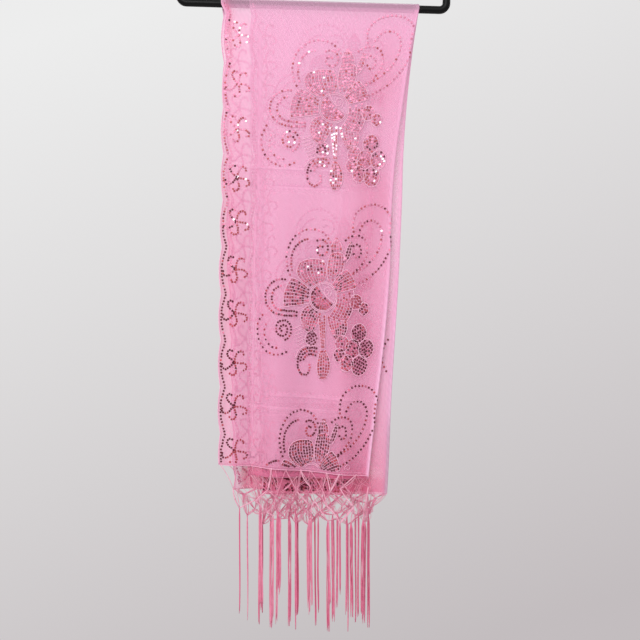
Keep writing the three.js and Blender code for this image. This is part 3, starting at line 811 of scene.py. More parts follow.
# %% The flower's petals and lobes
FANS = [  # edge, other edge, rows, tone, bulge: the petals round the ring, then what hangs from them
    (((-26, 11), (-38, 22), (-50, 26), (-58, 28)),
     ((-25, -10), (-42, -13), (-56, -15), (-70, -17)), 8, PLAIN, 6),  # left petal
    (((-22, 16), (-46, 22), (-58, 36), (-44, 52)),
     ((-2, 23), (6, 34), (4, 46), (-3, 56)), 9, SOFT, 4),  # upper left petal
    (((8, 24), (2, 38), (3, 52), (8, 66)),
     ((26, 27), (36, 40), (38, 54), (32, 67)), 6, SOFT, 2),  # bud
    (((10, 67), (7, 74), (9, 84), (17, 88)),
     ((30, 68), (32, 76), (27, 85), (19, 88)), 4, SOFT, 2),  # the bud's tip
    (((33, 54), (36, 66), (40, 78), (44, 84)),
     ((38, 52), (48, 62), (50, 76), (47, 84)), 2, DARK, 1),  # leaf beside the bud
    (((16, 19), (24, 34), (32, 40), (40, 43)),
     ((24, 6), (38, 10), (50, 12), (60, 15)), 7, SOFT, 4),  # upper right petal
    (((25, 3), (29, -8), (22, -20), (13, -29)),
     ((56, 12), (60, -6), (58, -24), (48, -35)), 6, SOFT, 2),  # right petal
    (((10, -28), (11, -40), (20, -54), (31, -62)),
     ((47, -36), (52, -44), (50, -56), (38, -64)), 7, SOFT, 2),  # lower right petal
    (((-22, -13), (-40, -16), (-44, -32), (-32, -48)),
     ((-2, -26), (-5, -34), (-8, -44), (-16, -54)), 7, SOFT, 3),  # lower left petal
    (((-7, -28), (-5, -44), (0, -60), (2, -78)),
     ((7, -27), (8, -44), (8, -60), (9, -78)), 3, BROWN, 0),  # column
    (((2, -81), (-2, -92), (-9, -112), (5, -124)),
     ((9, -81), (22, -90), (30, -112), (14, -124)), 5, BROWN, 1),  # drop
]
LOBES = [  # centre across and up, radius, lean, tone
    (42, -70, 11, 0, SOFT), (38, -87, 9, 10, PLAIN), (72, -53, 13, 20, DARK), (63, -77, 13, 60, PLAIN),
    (89, -76, 13, -40, DARK), (54, -99, 11, 40, PLAIN), (79, -102, 14, -20, DARK),  # the cluster
    (62, -6, 10, 70, BROWN), (78, -16, 8, 40, BROWN), (-17, -64, 10, 30, DARK),  # single leaves
]


print("petals and the like:", len(FANS), "and lobes:", len(LOBES))


# %% The ring, the hooked leaf and the scrolls
def ring_lines():
    """The double ring, its dividing wave, the sequins of its lower half and the curl in its upper."""
    lines = [(scroll(0, 0, radius, radius, 0, 360, 0.88), 0, SOFT) for radius in (26, 23.5)]
    lines.append((bezier((-9, 21), (-4, 8), (4, 0), (22, -9)), 0, SOFT))
    lines.append((scroll(7, 8, 9, 1, -60, 560), 0, SOFT))
    for radius in (20.5, 16.5, 12.5, 8.5, 4.5):
        lines.append((scroll(0, 0, radius, radius, 128, 322, 0.88), 4.3, SOFT if radius < 20 else PLAIN))
    return lines


def hooked_leaf():
    """The leaf beside the drop: a long hook and two shorter rows inside its head."""
    return [
        (bezier((-6, -79), (-22, -75), (-38, -80), (-40, -96), (-42, -112), (-32, -122), (-25, -119),
                (-17, -116), (-15, -110), (-18, -104)), 4.4, DARK),
        (bezier((-6, -84), (-20, -80), (-34, -84), (-35, -97)), 4.4, DARK),
        (bezier((-8, -89), (-18, -86), (-26, -88), (-29, -96)), 4.4, PLAIN),
        (bezier((-3, -76), (-22, -71), (-43, -76), (-45, -96)), 0, PLAIN),
    ]


def scrolls():
    """The open scrolls round the flower: two at the left, a spiral, an arch with a curl, a swirl."""
    lines = [
        (scroll(-73, -2, 31, 31, 85, 268, 0.88), CLOSE, PLAIN),
        (scroll(-73, -4, 20, 19, 100, 262, 0.95), CLOSE, PLAIN),
        (bezier((-73, -29), (-66, -31), (-56, -30), (-47, -29)), 4.4, DARK),
        (bezier((-74, -22), (-66, -23), (-56, -23), (-47, -24)), 4.4, DARK),
        (scroll(-81, -54, 37, 36, 140, 300), 7.6, PLAIN),
        (scroll(-80, -57, 25, 23, 150, 268), 8.0, PLAIN),
        (scroll(-71, -51, 17, 3.5, -70, 600), CLOSE, DARK),
        (scroll(-25, 60, 45, 38, 216, 5, 1.05), LOOSE, PLAIN),
        (scroll(-29, 55, 32, 30, 206, 100, 1.1), CLOSE, PLAIN),
        (scroll(-9, 73, 15, 4, 120, -300), CLOSE, DARK),
        (scroll(-24, 43, 14, 13, 175, 50), 5.4, PLAIN),
        (bezier((50, 101), (34, 152), (130, 162), (126, 104), (125, 66), (98, 34), (60, 21)), LOOSE, PLAIN),
        (bezier((62, 104), (72, 130), (112, 122), (104, 90), (100, 66), (80, 50), (54, 37)), LOOSE, PLAIN),
        (bezier((36, 87), (50, 100), (78, 100), (78, 74), (78, 58), (66, 46), (48, 35)), LOOSE, PLAIN),
        (scroll(58, 70, 10, 6, 130, -150, 1.2), 6.0, DARK),
        (scroll(76, 18, 7, 2, 200, -160), 0, RIB),
    ]
    for i in range(7):  # short slanting stitches beside the spiral
        lines.append((np.array([(-52 + 2.4 * i, -50 - 5 * i), (-36 + 1.5 * i, -44 - 5 * i)]), 0, SOFT))
    return lines


def flower():
    """The flower's lines: a list of (points, sequin spacing, tone)."""
    lines = ring_lines() + hooked_leaf() + scrolls()
    for edge_a, edge_b, rows, tone, bulge in FANS:
        lines += fan(edge_a, edge_b, rows, tone, bulge)
    for cx, cy, radius, lean, tone in LOBES:
        lines += lobe(cx, cy, radius, lean, tone)
    return lines


flower_lines = flower()
print("the flower has", len(flower_lines), "lines")

# %% [markdown]
# ## The border's drawing
# Just inside each scalloped edge runs a row of sequins that swings further in at every notch, and
# beside it stands a row of five-armed whirls. A formula that shares the scallops' own pitch keeps the
# row in step with them, and one hooked arm, turned to five headings, makes every whirl.

# %% The border
ROW_IN = 4.2  # from the bound edge to the row at the middle of a scallop
ROW_SWING = 6.5
BORDER_PITCH = 4.8
WHIRL_IN = 24.5  # from the edge to a whirl's middle
WHIRL_PITCH = 3.9
ARM = bezier((2, 0), (7, 1), (11, 2), (15, 1), (20, -1), (21, -7), (16, -8.5))
ARM_HEADINGS = (128, 70, -12, -82, 219)


def border_row(length):
    """The row as (in from the edge, along): ROW_IN + ROW_SWING * (1 - |sin|)^1.4 at each scallop."""
    along = np.arange(BAR_ARC, length, 1.5)
    phase = (along - BAR_ARC - SCALLOP["first"]) / SCALLOP["period"]
    return np.stack([ROW_IN + ROW_SWING * (1 - np.abs(np.sin(np.pi * phase))) ** 1.4, along], -1)


def whirl():
    """Five hooked arms about the whirl's middle, the three towards the cloth red-brown."""
    arms = []
    for heading in ARM_HEADINGS:
        c, s = np.cos(np.radians(heading)), np.sin(np.radians(heading))
        arms.append((ARM @ np.array([(c, s), (-s, c)]), BROWN if -90 < heading < 90 else DARK))
    return arms


print("a border row has", len(spaced(border_row(700), BORDER_PITCH)), "sequins")

# %% [markdown]
# ## Sewing the drawing on
# Both halves and both ends carry three flowers. The ends mirror each other about the bar, so the
# flowers stand upright however the shawl hangs, and the halves mirror each other about the fold. The
# drawing is laid out flat, in the cloth's own u and w, and only then hung, so it follows every fold.

# %% Lay out the sequin rows and the threads
FLOWERS = {1: (156, 444, 720), -1: (129, 412, 695)}  # how far below the bar each flower's ring lies
WHIRLS = {1: (48, 123, 192, 267, 334, 406, 473, 548, 615, 683),
          -1: (85, 158, 229, 300, 370, 441, 512, 583, 655, 722)}
ROW_CLEAR = 3  # how far above its hem a border's row stops
HEM_CLEAR = 5  # the same for everything else
BACK_REACH = 75  # on the back, a line that reaches further from its ring would run over the fold
LONE_ARC = {"in": 20, "down": 530, "radius": 40, "half": 37}  # the bow of a scroll at the back fold
FLOWER_ACROSS = {1: MIDDLE_ACROSS, -1: 188}  # how far in from the outer free edge the rings lie


def laid_flat(line, side, half, down):
    """A flower's line as (u, w): across from the ring's place, and along the cloth below the bar."""
    across = FLOWER_ACROSS[side] + line[:, 0]
    u = across if half == "outer" else 2 * FOLD - across
    return np.stack([u, side * (BAR_ARC + down - line[:, 1])], -1)


def border_line(line, side, half, down=0.0):
    """A border's line of (in, along) as (u, w) on the outer or the inner free edge."""
    u = line[:, 0] if half == "outer" else WIDTH - line[:, 0]
    return np.stack([u, side * (down + line[:, 1])], -1)


def drawing():
    """Every line on the shawl: a list of (points (u, w), sequin spacing, tone, half)."""
    lines = []
    for side in (1, -1):
        for half in ("outer", "inner"):
            for down in FLOWERS[side]:
                lines += [(laid_flat(line, side, half, down), pitch, tone, half)
                          for line, pitch, tone in flower_lines
                          if side > 0 or line[:, 0].max() < BACK_REACH]
            row = border_row(BAR_ARC + HEMS[side][half][0] - ROW_CLEAR)
            lines.append((border_line(row, side, half), BORDER_PITCH, DARK, half))
            for down in WHIRLS[side]:
                for arm, tone in whirl():
                    flat = arm * (1, -1) + (WHIRL_IN, 0)
                    lines.append((border_line(flat, side, half, BAR_ARC + down), WHIRL_PITCH, tone, half))
    centre = (FOLD - LONE_ARC["in"], -BAR_ARC - LONE_ARC["down"])
    radius, half_turn = LONE_ARC["radius"], LONE_ARC["half"]
    lines.append((scroll(*centre, radius, radius, -half_turn, half_turn), LOOSE, DARK, "inner"))
    return lines


def kept(flat):
    """Which points lie on the cloth, clear of its hems."""
    run = np.where(flat[:, 1] > 0, hem_drop(flat[:, 0], 1), hem_drop(flat[:, 0], -1))
    return np.abs(flat[:, 1]) < BAR_ARC + run - HEM_CLEAR


lines = drawing()
print("the drawing has", len(lines), "lines")

# %% [markdown]
# ## Sequins
# A sequin is a small cupped disc of polyester film, metallised on its back, held by thread through a
# hole in its middle. Each hangs at a slightly different tilt, so neighbours catch different parts of
# the room. A few lie square between the lit panel and the eye and flash, most of them in the upper
# half, and their white tint is a painted highlight besides. Each line has its own tone, and the tint
# also runs from the cloth's own pink near the bar to a dark red-brown near the hem, which is a painted
# reflection: lower down they are coloured as if they mirrored a darker room. Real gauze blurs what
# lies behind it and a plain alpha does not, so most sequins of the hidden inner halves get the pale
# tint.

# %% The film
# The white tint is a painted highlight, for the sequins that flash.
TINTS = {"dark": "#662a39", "brown": "#b55a64", "mauve": "#cd7b96", "pale": "#e795b4", "white": "#fff6fd"}


def sequin_finish():
    """Metallised polyester film: partly metal, softly glossy and dented, in each sequin's tint,
    which holds its own colour with painted reflection and highlight.
    """
    material, tree, shader = new_material("Metallised_polyester_film")
    tint = add_node(tree, "Attribute", attribute_name="tint")
    place = add_node(tree, "TexCoord")
    dents = add_node(tree, "TexNoise", {"Vector": place.outputs["Object"], "Scale": 900.0})
    relief = add_node(tree, "Bump", {"Height": dents.outputs["Fac"], "Strength": 0.3, "Distance": 0.0002})
    tree.links.new(tint.outputs["Color"], shader.inputs["Base Color"])
    tree.links.new(relief.outputs["Normal"], shader.inputs["Normal"])
    shader.inputs["Metallic"].default_value = 0.6
    shader.inputs["Roughness"].default_value = 0.6
    return material


film = sequin_finish()
print("the film comes in", len(TINTS), "tints")

# %% Which sequins flash
DROPS = (0, 150, 300, 450, 600, 700)  # how far below the bar each share of the tables below holds
FLASH_SHARE = (0.005, 0.005, 0.004, 0.001, 0.0, 0.0)
FLASHES = [  # across, drop, half width, half height, share: where sequins flash and get the painted white
    (180, 205, 14, 22, 0.60), (182, 262, 14, 18, 0.45), (284, 246, 16, 32, 0.26), (110, 206, 7, 10, 0.50),
    (150, 95, 30, 40, 0.05), (30, 52, 14, 30, 0.24), (36, 180, 16, 18, 0.22), (36, 335, 14, 14, 0.22),
    (34, 270, 16, 14, 0.10), (286, 340, 12, 18, 0.50), (162, 375, 16, 26, 0.16), (176, 330, 10, 12, 0.30),
]
rng = np.random.default_rng(7)


def flashing(flat):
    """Which sequins flash: drawn against a share that is greatest in the ellipses of FLASHES."""
    across = np.where(flat[:, 0] < FOLD, flat[:, 0], 2 * FOLD - flat[:, 0])
    drop = np.abs(flat[:, 1]) - BAR_ARC
    share = np.interp(drop, DROPS, FLASH_SHARE)
    for a, d, half_across, half_drop, most in FLASHES:
        share = share + most * np.exp(-(((across - a) / half_across) ** 2) - ((drop - d) / half_drop) ** 2)
    return rng.random(len(flat)) < share


print("the places where sequins flash:", len(FLASHES))

# %% The tint of each sequin
# Painted reflection: lower down more sequins are dark or brown and fewer pale, those under the front hem
# most of all, and all lose green and blue, as if they mirrored a darker room.
AS_DARK, AS_BROWN, AS_MAUVE, AS_PALE, AS_PAINTED_GLINT = range(5)  # places in TINTS
DARK_SHARE = {  # by tone, at each of DROPS
    SOFT: (0.0, 0.02, 0.08, 0.26, 0.46, 0.55),
    PLAIN: (0.0, 0.05, 0.24, 0.46, 0.62, 0.65),
    DARK: (0.03, 0.14, 0.46, 0.72, 0.78, 0.74),
    BROWN: (0.0, 0.02, 0.06, 0.16, 0.20, 0.24),
}
BROWN_SHARE = {SOFT: 0.3, PLAIN: 0.45, DARK: 0.6, BROWN: 0.95}  # of those that aren't dark
LOW_BROWN = {"more": 0.5, "from": 540, "over": 80}  # what is added to it near the hem
PALE_SHARE = (0.95, 0.50, 0.25, 0.08, 0.0, 0.0)
PATCH = {"seed": 3, "size": 22, "weight": 0.4}  # dark and light sequins tend to lie in patches
BACK_ENDS = {"from": 700, "share": 0.85, "dark": 0.55}  # under the front hem most are dark or brown
HIDDEN = {"past": 40, "until": 685, "share": 0.8}  # behind the outer half most are pale
REDDER = {"from": 280, "over": 220, "loss": (0.0, 0.28, 0.22)}  # what red, green and blue lose downwards


def patches(x, z, seed, size):
    """Smooth unevenness from -1 to 1 in patches about `size` mm across: a sum of eight slanting waves."""
    waves = np.random.default_rng(seed)
    angle = waves.uniform(0, 2 * np.pi, 8)
    phase = waves.uniform(0, 2 * np.pi, 8)
    scale = waves.uniform(0.6, 1.6, 8) * np.pi / size
    parts = [np.sin(k * (x * np.cos(a) + z * np.sin(a)) + p) for a, p, k in zip(angle, phase, scale)]
    return np.sum(parts, 0) / 3.0


def sequin_kinds(flat, tone, flash):
    """Each sequin's place in TINTS: by its tone and patchy chance, darker down the drop as painted
    reflection, and white where it flashes, as a painted highlight.
    """
    count = len(flat)
    drop = np.abs(flat[:, 1]) - BAR_ARC
    tones = (SOFT, PLAIN, DARK, BROWN)
    dark = np.choose(tone, [np.interp(drop, DROPS, DARK_SHARE[t]) for t in tones])
    low = smooth((drop - LOW_BROWN["from"]) / LOW_BROWN["over"])
    brown = np.choose(tone, [BROWN_SHARE[t] for t in tones]) + LOW_BROWN["more"] * low
    pale = np.interp(drop, DROPS, PALE_SHARE)
    mood = 0.5 + 0.5 * np.clip(patches(flat[:, 0], drop, PATCH["seed"], PATCH["size"]), -1, 1)
    draw = (1 - PATCH["weight"]) * rng.random(count) + PATCH["weight"] * mood
    kind = np.where(draw < dark, AS_DARK, np.where(rng.random(count) < brown, AS_BROWN, AS_MAUVE))
    kind = np.where((draw >= dark) & (rng.random(count) < pale), AS_PALE, kind)
    deepest = np.where(rng.random(count) < BACK_ENDS["dark"], AS_DARK, AS_BROWN)
    back_end = (flat[:, 1] < 0) & (drop > BACK_ENDS["from"])
    kind = np.where(back_end & (rng.random(count) < BACK_ENDS["share"]), deepest, kind)
    behind = (flat[:, 0] > FOLD + HIDDEN["past"]) & (drop < HIDDEN["until"])
    kind = np.where(behind & (rng.random(count) < HIDDEN["share"]), AS_PALE, kind)
    # painted highlight: a sequin that flashes is tinted white, besides being turned to the panel
    return np.where(flash, AS_PAINTED_GLINT, kind)


def sequin_tints_and_reflections(flat, tone, flash):
    """Each sequin's colour: its kind's tint, a little lighter or darker by chance, and redder
    downwards as painted reflection.
    """
    kind = sequin_kinds(flat, tone, flash)
    drop = np.abs(flat[:, 1]) - BAR_ARC
    colours = np.array([linear(code) for code in TINTS.values()])
    shade = 0.85 + 0.3 * rng.random((len(flat), 1))
    redder = 1 - np.array(REDDER["loss"]) * smooth((drop - REDDER["from"]) / REDDER["over"])[:, None]
    return colours[kind] * np.hstack([shade * redder, np.ones((len(flat), 1))])


print("of the darkest rows,", DARK_SHARE[DARK][3], "of the sequins are dark at a drop of", DROPS[3], "mm")

# %% [markdown]
# ### One lens, thousands of times
# Thousands of sequins are one array: a ten-point lens copied to every place, turned to the cloth's
# own facing and tilted at random from a fixed seed. The rim is marked sharp, so that each side of the
# lens is shaded by itself as a shallow dome. Without that mark the rim's normals would point sideways.

# %% The lens and where it lies
SEQUIN_RADIUS = 1.75
SEQUIN_DOME = 0.34  # how high its middle stands
SEQUIN_BACK = 0.08  # how far its back's middle lies behind the rim
SEQUIN_TILT = 0.15
SEQUIN_LIFT = 0.35
UNEVEN_SEWING = 0.28
FLASH_DOME = 0.4  # a sequin that flashes has this part of the dome
FLASH_TURN = 0.8  # the cosine of the most that it may be turned from the cloth's own facing
RIM = 8
LENS_POINTS = RIM + 2
PANEL = np.array([-700.0, -2000.0, 700.0])
EYE = np.array([VIEW_ACROSS, -VIEW_DISTANCE, VIEW_HEIGHT])


def unit(vectors):
    """Vectors made one long."""
    return vectors / np.linalg.norm(vectors, axis=-1, keepdims=True)


def lens_faces():
    """One lens's faces: four kites round its front's middle and four round its back's."""
    front = [(RIM, i, i + 1, (i + 2) % RIM) for i in range(0, RIM, 2)]
    back = [(RIM + 1, (i + 2) % RIM, i + 1, i) for i in range(0, RIM, 2)]
    return np.array(front + back)


def sharpen_rims(piece):
    """Marks as sharp every edge whose two ends are both rim points."""
    ends = np.zeros(2 * len(piece.data.edges), np.int32)
    piece.data.edges.foreach_get("vertices", ends)
    on_rim = (ends.reshape(-1, 2) % LENS_POINTS < RIM).all(1)
    piece.data.attributes.new("sharp_edge", "BOOLEAN", "EDGE").data.foreach_set("value", on_rim)


def make_sequins(name, flat, tone, material):
    """Lens discs on the cloth: centre + radius (cos k e1 + sin k e2) for the rim, centre + dome n for
    the front's middle. One that flashes is flatter, flat-shaded, and faces between panel and eye."""
    centre, facing = on_cloth(flat, SEQUIN_LIFT)
    count = len(flat)
    flash = flashing(flat)
    halfway = unit(unit(PANEL - centre) + unit(EYE - centre))
    flash &= (halfway * facing).sum(1) > FLASH_TURN
    loose = unit(facing + rng.normal(0, SEQUIN_TILT, (count, 3)))
    n = np.where(flash[:, None], halfway, loose)
    e1 = unit(np.cross(n, np.array([0.13, 0.21, 0.97])))
    e2 = np.cross(n, e1)
    k = np.arange(RIM) * 2 * np.pi / RIM
    rim = (np.cos(k)[:, None] * e1[:, None] + np.sin(k)[:, None] * e2[:, None]) * SEQUIN_RADIUS
    top = n[:, None] * np.where(flash, FLASH_DOME, 1.0)[:, None, None] * SEQUIN_DOME
    back = -n[:, None] * SEQUIN_BACK
    points = centre[:, None] + np.concatenate([rim, top, back], 1)
    cell = lens_faces()
    quads = (cell[None] + LENS_POINTS * np.arange(count)[:, None, None]).reshape(-1, 4)
    tint = np.repeat(sequin_tints_and_reflections(flat, tone, flash), LENS_POINTS, axis=0)
    domed = np.repeat(~flash, len(cell))
    piece = make_piece(name, points.reshape(-1, 3), quads, material, smooth_faces=domed, tint=tint)
    sharpen_rims(piece)
    return piece


def sequin_places(half):
    """The (u, w) and the tone of every sequin on one half, uneven as fed by hand."""
    runs = [(spaced(flat, pitch), tone) for flat, pitch, tone, part in lines if pitch and part == half]
    places = np.vstack([run for run, _ in runs])
    tones = np.concatenate([np.full(len(run), tone) for run, tone in runs])
    places = places + rng.normal(0, UNEVEN_SEWING, places.shape)
    stay = kept(places)
    return places[stay], tones[stay]


sequins = {half: make_sequins(half + "_sequins", *sequin_places(half), film) for half in ("outer", "inner")}

# %% [markdown]
# ## Embroidery thread
# The sequins are chained on by a pale thread that shows between them, and heavier couched lines
# outline the petals, the ring and the bud. Lines in a texture would have no edge to catch the light,
# so each is a flattened cord that lies on the cloth.

# %% Embroidery
CHAINED = {"half": 0.32, "high": 0.2, "step": 4.0}  # under a row of sequins
RIBBED = {"half": 0.45, "high": 0.6, "step": 5.0}  # between two rows
COUCHED = {"half": 0.65, "high": 0.45, "step": 3.4}  # the outlines
FINER_INSIDE = 0.4  # the inner half's cords against the outer's
MOTTLED = {"seed": 11, "size": 18, "most": 0.3}  # patches of deeper thread


def thread_parts(half):
    """The cords of one half's drawing, cut where a line runs off the hem. The inner half keeps only
    the couched lines, because its sequins hide the rest and the outer half hides it all."""
    parts = []
    for flat, pitch, tone, part in lines:
        size = CHAINED if pitch else RIBBED if tone == RIB else COUCHED
        if part != half or (half == "inner" and size is not COUCHED):
            continue
        run = spaced(flat, size["step"])
        run = run[kept(run)]
        if len(run) > 2:
            half_width = size["half"] * (1.0 if half == "outer" else FINER_INSIDE)
            parts.append(stitched_cord(run, half_width, size["high"], 4))
    return parts


threads = {}
for half in ("outer", "inner"):
    points, quads = join(thread_parts(half))
    shade = 0.5 + 0.5 * patches(points[:, 0], points[:, 2], MOTTLED["seed"], MOTTLED["size"])
    threads[half] = make_piece(half + "_embroidery", points, quads, thread_finish,
                               shade=MOTTLED["most"] * shade)

# %% [markdown]
# ## The knotted fringe
# Fringe yarn is drawn through the hem, tied into a net by three rows of knots, and left to hang as
# tassels. Net and tassels are the same soft rayon yarn, painted as a lit and a shaded copy: the net
# paler, as single strands look where they cross the light, and the tassels deep pink, as four to
# seven yarns look where they pack together and shade one another. Hair particles would give finer
# yarn, but they can't be tied to one another, so each strand is a cord of its own from knot to knot.
# No two tassels end at the same height.

# %% Where the fringe hangs
FRINGES = {  # the drop of the longest tassels, and how the net draws the tassels in from each corner
    1: {"end": 936, "from": 716, "left": 20, "right": 3, "column": FRONT},
    -1: {"end": 957, "from": 746, "left": 5, "right": -24, "column": BACK},
}
NET_HEIGHT = 60
RANKS = {"outer": OUTER, "inner": INNER}


def fringe_point(side, half, share, below):
    """A point `below` mm under a leaf's hem, `share` of the way from its free edge to the fold: the
    hem's own point, drawn in by the net and let down plumb."""
    spec = FRINGES[side]
    inset = 0 if half == "outer" else INSET
    across = inset + (FOLD - inset) * share
    u = across if half == "outer" else 2 * FOLD - across
    hem = hem_drop(u, side)
    start = cloth_point(u, side * (BAR_ARC + hem))
    corners = level_at(FOLDS_FULL, LEFT), level_at(FOLDS_FULL, spec["column"])
    inwards = np.interp(start[..., 0], corners, (spec["left"], spec["right"]))
    drop = hem + below
    x = start[..., 0] + inwards * smooth((drop - spec["from"]) / NET_HEIGHT)
    y = -side * rank_distance(RANKS[half], hem) + fold_depth(x, np.full_like(x, FOLDS_FULL))
    return np.stack([x, y, start[..., 2] - below], -1)


middle_of_net = fringe_point(1, "outer", np.array([0.5]), np.array([NET_HEIGHT / 2]))
print("the front net's middle hangs at", middle_of_net.round(1))

# %% The net's knots and strands
KNOT_ROWS = {  # how far each row of knots hangs below its own hem
    (1, "outer"): (30, 50, 70), (1, "inner"): (16, 34, 52),
    (-1, "outer"): (12, 26, 40), (-1, "inner"): (14, 30, 46),
}
TASSELS = {(1, "outer"): 10, (1, "inner"): 8, (-1, "outer"): 10, (-1, "inner"): 8}
TIED_ABOVE = 1.5  # above the hem's very edge
STRAY = {  # how far a knot strays from its even place
    (1, "outer"): 6.0, (1, "inner"): 4.5, (-1, "outer"): 3.4, (-1, "inner"): 4.0,
}


def net_of(side, half):
    """The knots' rows as points, from the hem down, and the pairs of points that a strand joins."""
    count = TASSELS[side, half]
    uneven = np.random.default_rng(20 + side + len(half))
    tied = np.linspace(0.004, 0.996, count + 1)
    tied[1:-1] += uneven.normal(0, 0.12 / count, count - 1)
    rows = [fringe_point(side, half, tied, np.full(count + 1, -TIED_ABOVE))]
    for number, below in enumerate(KNOT_ROWS[side, half]):
        middle = number % 2 == 0
        share = (np.arange(count) + 0.5) / count if middle else np.arange(1, count) / count
        down = below + uneven.normal(0, STRAY[side, half], share.shape)
        row = fringe_point(side, half, share, down)
        row[:, 0] += uneven.normal(0, STRAY[side, half], share.shape)
        row[:, 1] += uneven.normal(0, 0.8, share.shape)
        rows.append(row)
    tied_row, first, second, third = rows
    strands = []
    for i in range(count):
        strands += [(tied_row[i], first[i]), (tied_row[i + 1], first[i])]
        strands.append((first[i], second[i] if i < count - 1 else third[i]))
        strands.append((first[i], second[i - 1] if i > 0 else third[i]))
        strands.append((second[i] if i < count - 1 else first[i], third[i]))
        strands.append((second[i - 1] if i > 0 else first[i], third[i]))
    return rows, strands, uneven


print("the front outer net joins", len(net_of(1, "outer")[1]), "pairs of knots")

# %% Strands, knots and tassels
TOWARDS_VIEW = np.array([0.0, -1.0, 0.0])
TASSEL_YARN = 0.66  # half thickness of a tassel's yarn


def strand(start, end, sag, thickness):
    """A slack strand: the straight line, bowed by sag * 4 t (1 - t) sideways and 0.4 of that down."""
    t = np.linspace(0, 1, 7)[:, None]
    path = start + (end - start) * t + np.array([sag, 0.0, -abs(sag) * 0.4]) * 4 * t * (1 - t)
    return tube(path, TOWARDS_VIEW, thickness, sides=6)


def knot(centre, size):
    """A pulled knot: a short tube whose radius swells as sin(pi t)."""
    t = np.linspace(0, 1, 6)
    path = centre + np.stack([0 * t, 0 * t, size * (1.2 - 2.4 * t)], -1)
    return tube(path, TOWARDS_VIEW, 0.4 + size * 0.7 * np.sin(np.pi * t), sides=8)


def tassel(top, length, yarns, spread, uneven):
    """Yarns that leave one knot and hang as an even cord, lying round each other with a slow turn:
    x = sway t + r cos(a), y = 0.7 r sin(a), each cut at its own height."""
    parts = []
    t = np.linspace(0, 1, 14)
    swing = uneven.uniform(0.5, 1.2)
    sway = uneven.normal(0, 1.3) * t + 0.6 * np.sin(2 * np.pi * (t * swing + uneven.random())) * t
    for i in range(yarns):
        own = length - abs(uneven.normal(0, 6)) * (i > 0)
        angle = 2 * np.pi * i / yarns + uneven.uniform(1, 4) * t
        radius = spread * smooth(t * 12)
        path = np.stack([sway + radius * np.cos(angle), radius * np.sin(angle) * 0.7, -own * t], -1)
        thickness = TASSEL_YARN * (1 - 0.5 * smooth((t - 0.93) / 0.07))
        parts.append(tube(top + path, TOWARDS_VIEW, thickness, sides=6))
    return parts


print("a knot is", len(knot(np.zeros(3), 1.2)[0]), "points")

# %% The two fringes
STRAND_YARNS = {  # how many yarns run between two knots
    (1, "outer"): 2, (1, "inner"): 3, (-1, "outer"): 6, (-1, "inner"): 6,
}
BOLD_SHARE = 0.35  # of the front net's strands, those that are thick and nearly straight
BOLD_YARN = 0.85
THIN_YARN = (0.22, 0.5)
SHORTER = 17  # how unevenly the tassels end, up from the longest
SPREADS = (0.5, 0.8, 1.1, 1.5, 2.0)  # how far a tassel's yarns may lie from its middle

# A painted shaded copy of the yarn for the tassels, and a painted lit copy for the net.
yarn_finish = satin_thread("Rayon_fringe_yarn", "#f296b4", "#dc6189", 0.5)
strand_finish = satin_thread("Rayon_net_strand", "#f9bcd2", "#d6618a", 0.45)


def net_parts(side, half, rows, strands, uneven):
    """One leaf's strands and knots, and how deep the shade of each is."""
    in_front = side > 0 and half == "outer"
    parts, shade = [], []
    corners = rows[0][0][0], rows[0][-1][0]
    for start, end in strands:
        bold = in_front and uneven.random() < BOLD_SHARE
        for yarn in range(STRAND_YARNS[side, half]):
            thickness = BOLD_YARN if bold and yarn == 0 else uneven.uniform(*THIN_YARN)
            x = np.clip(start[0] + uneven.normal(0, 0.5 if bold else 3.0), *corners)
            sag = uneven.normal(0, 1.6 if bold else 2.4)
            parts.append(strand(np.array([x, start[1], start[2]]), end, sag, thickness))
            shade.append(0.0 if bold else uneven.normal(0.35 if in_front else 0.5, 0.2))
    for row in rows[1:]:
        parts += [knot(centre, uneven.uniform(0.9, 1.5)) for centre in row]
        shade += [0.4] * len(row)
    return parts, shade


def tassel_parts(side, tops, uneven):
    """The yarns of one leaf's tassels, one tassel under each of the last knots, and their shades."""
    yarns, shade = [], []
    for top in tops:
        end = bar_height(top[0]) - FRINGES[side]["end"] + abs(uneven.normal(0, SHORTER))
        spread = uneven.choice(SPREADS)
        parts = tassel(top, top[2] - end, int(3 + 2 * spread), spread, uneven)
        yarns += parts
        own = uneven.uniform(0.0, 1.1)
        shade += [own + uneven.normal(0, 0.12) for _ in parts]
    return yarns, shade


def make_fringe(side, name):
    """One end's net and tassels, both leaves together."""
    net, net_shade, yarns, yarn_shade = [], [], [], []
    for half in ("outer", "inner"):
        rows, strands, uneven = net_of(side, half)
        parts, shade = net_parts(side, half, rows, strands, uneven)
        net += parts
        net_shade += shade
        parts, shade = tassel_parts(side, rows[-1], uneven)
        yarns += parts
        yarn_shade += shade
    pieces = []
    for kind, parts, shade, finish in (("_net", net, net_shade, strand_finish),
                                       ("_tassels", yarns, yarn_shade, yarn_finish)):
        points, quads = join(parts)
        shades = np.repeat(shade, [len(part_points) for part_points, _ in parts])
        pieces.append(make_piece(name + kind, points, quads, finish, shade=shades))
    return pieces


front_net, front_tassels = make_fringe(1, "front_fringe")
back_net, back_tassels = make_fringe(-1, "back_fringe")

# %% [markdown]
# ## The hanger
# An injection-moulded tubular hanger: one round tube bent through five corners, with a boss at its
# neck where the hook is set. A bevelled curve would do, but the bends have to match the part's own,
# so the outline is worked out from the corners and their bend radii. The same oval along a path
# makes the tube and the hook, and a turned profile makes the boss.

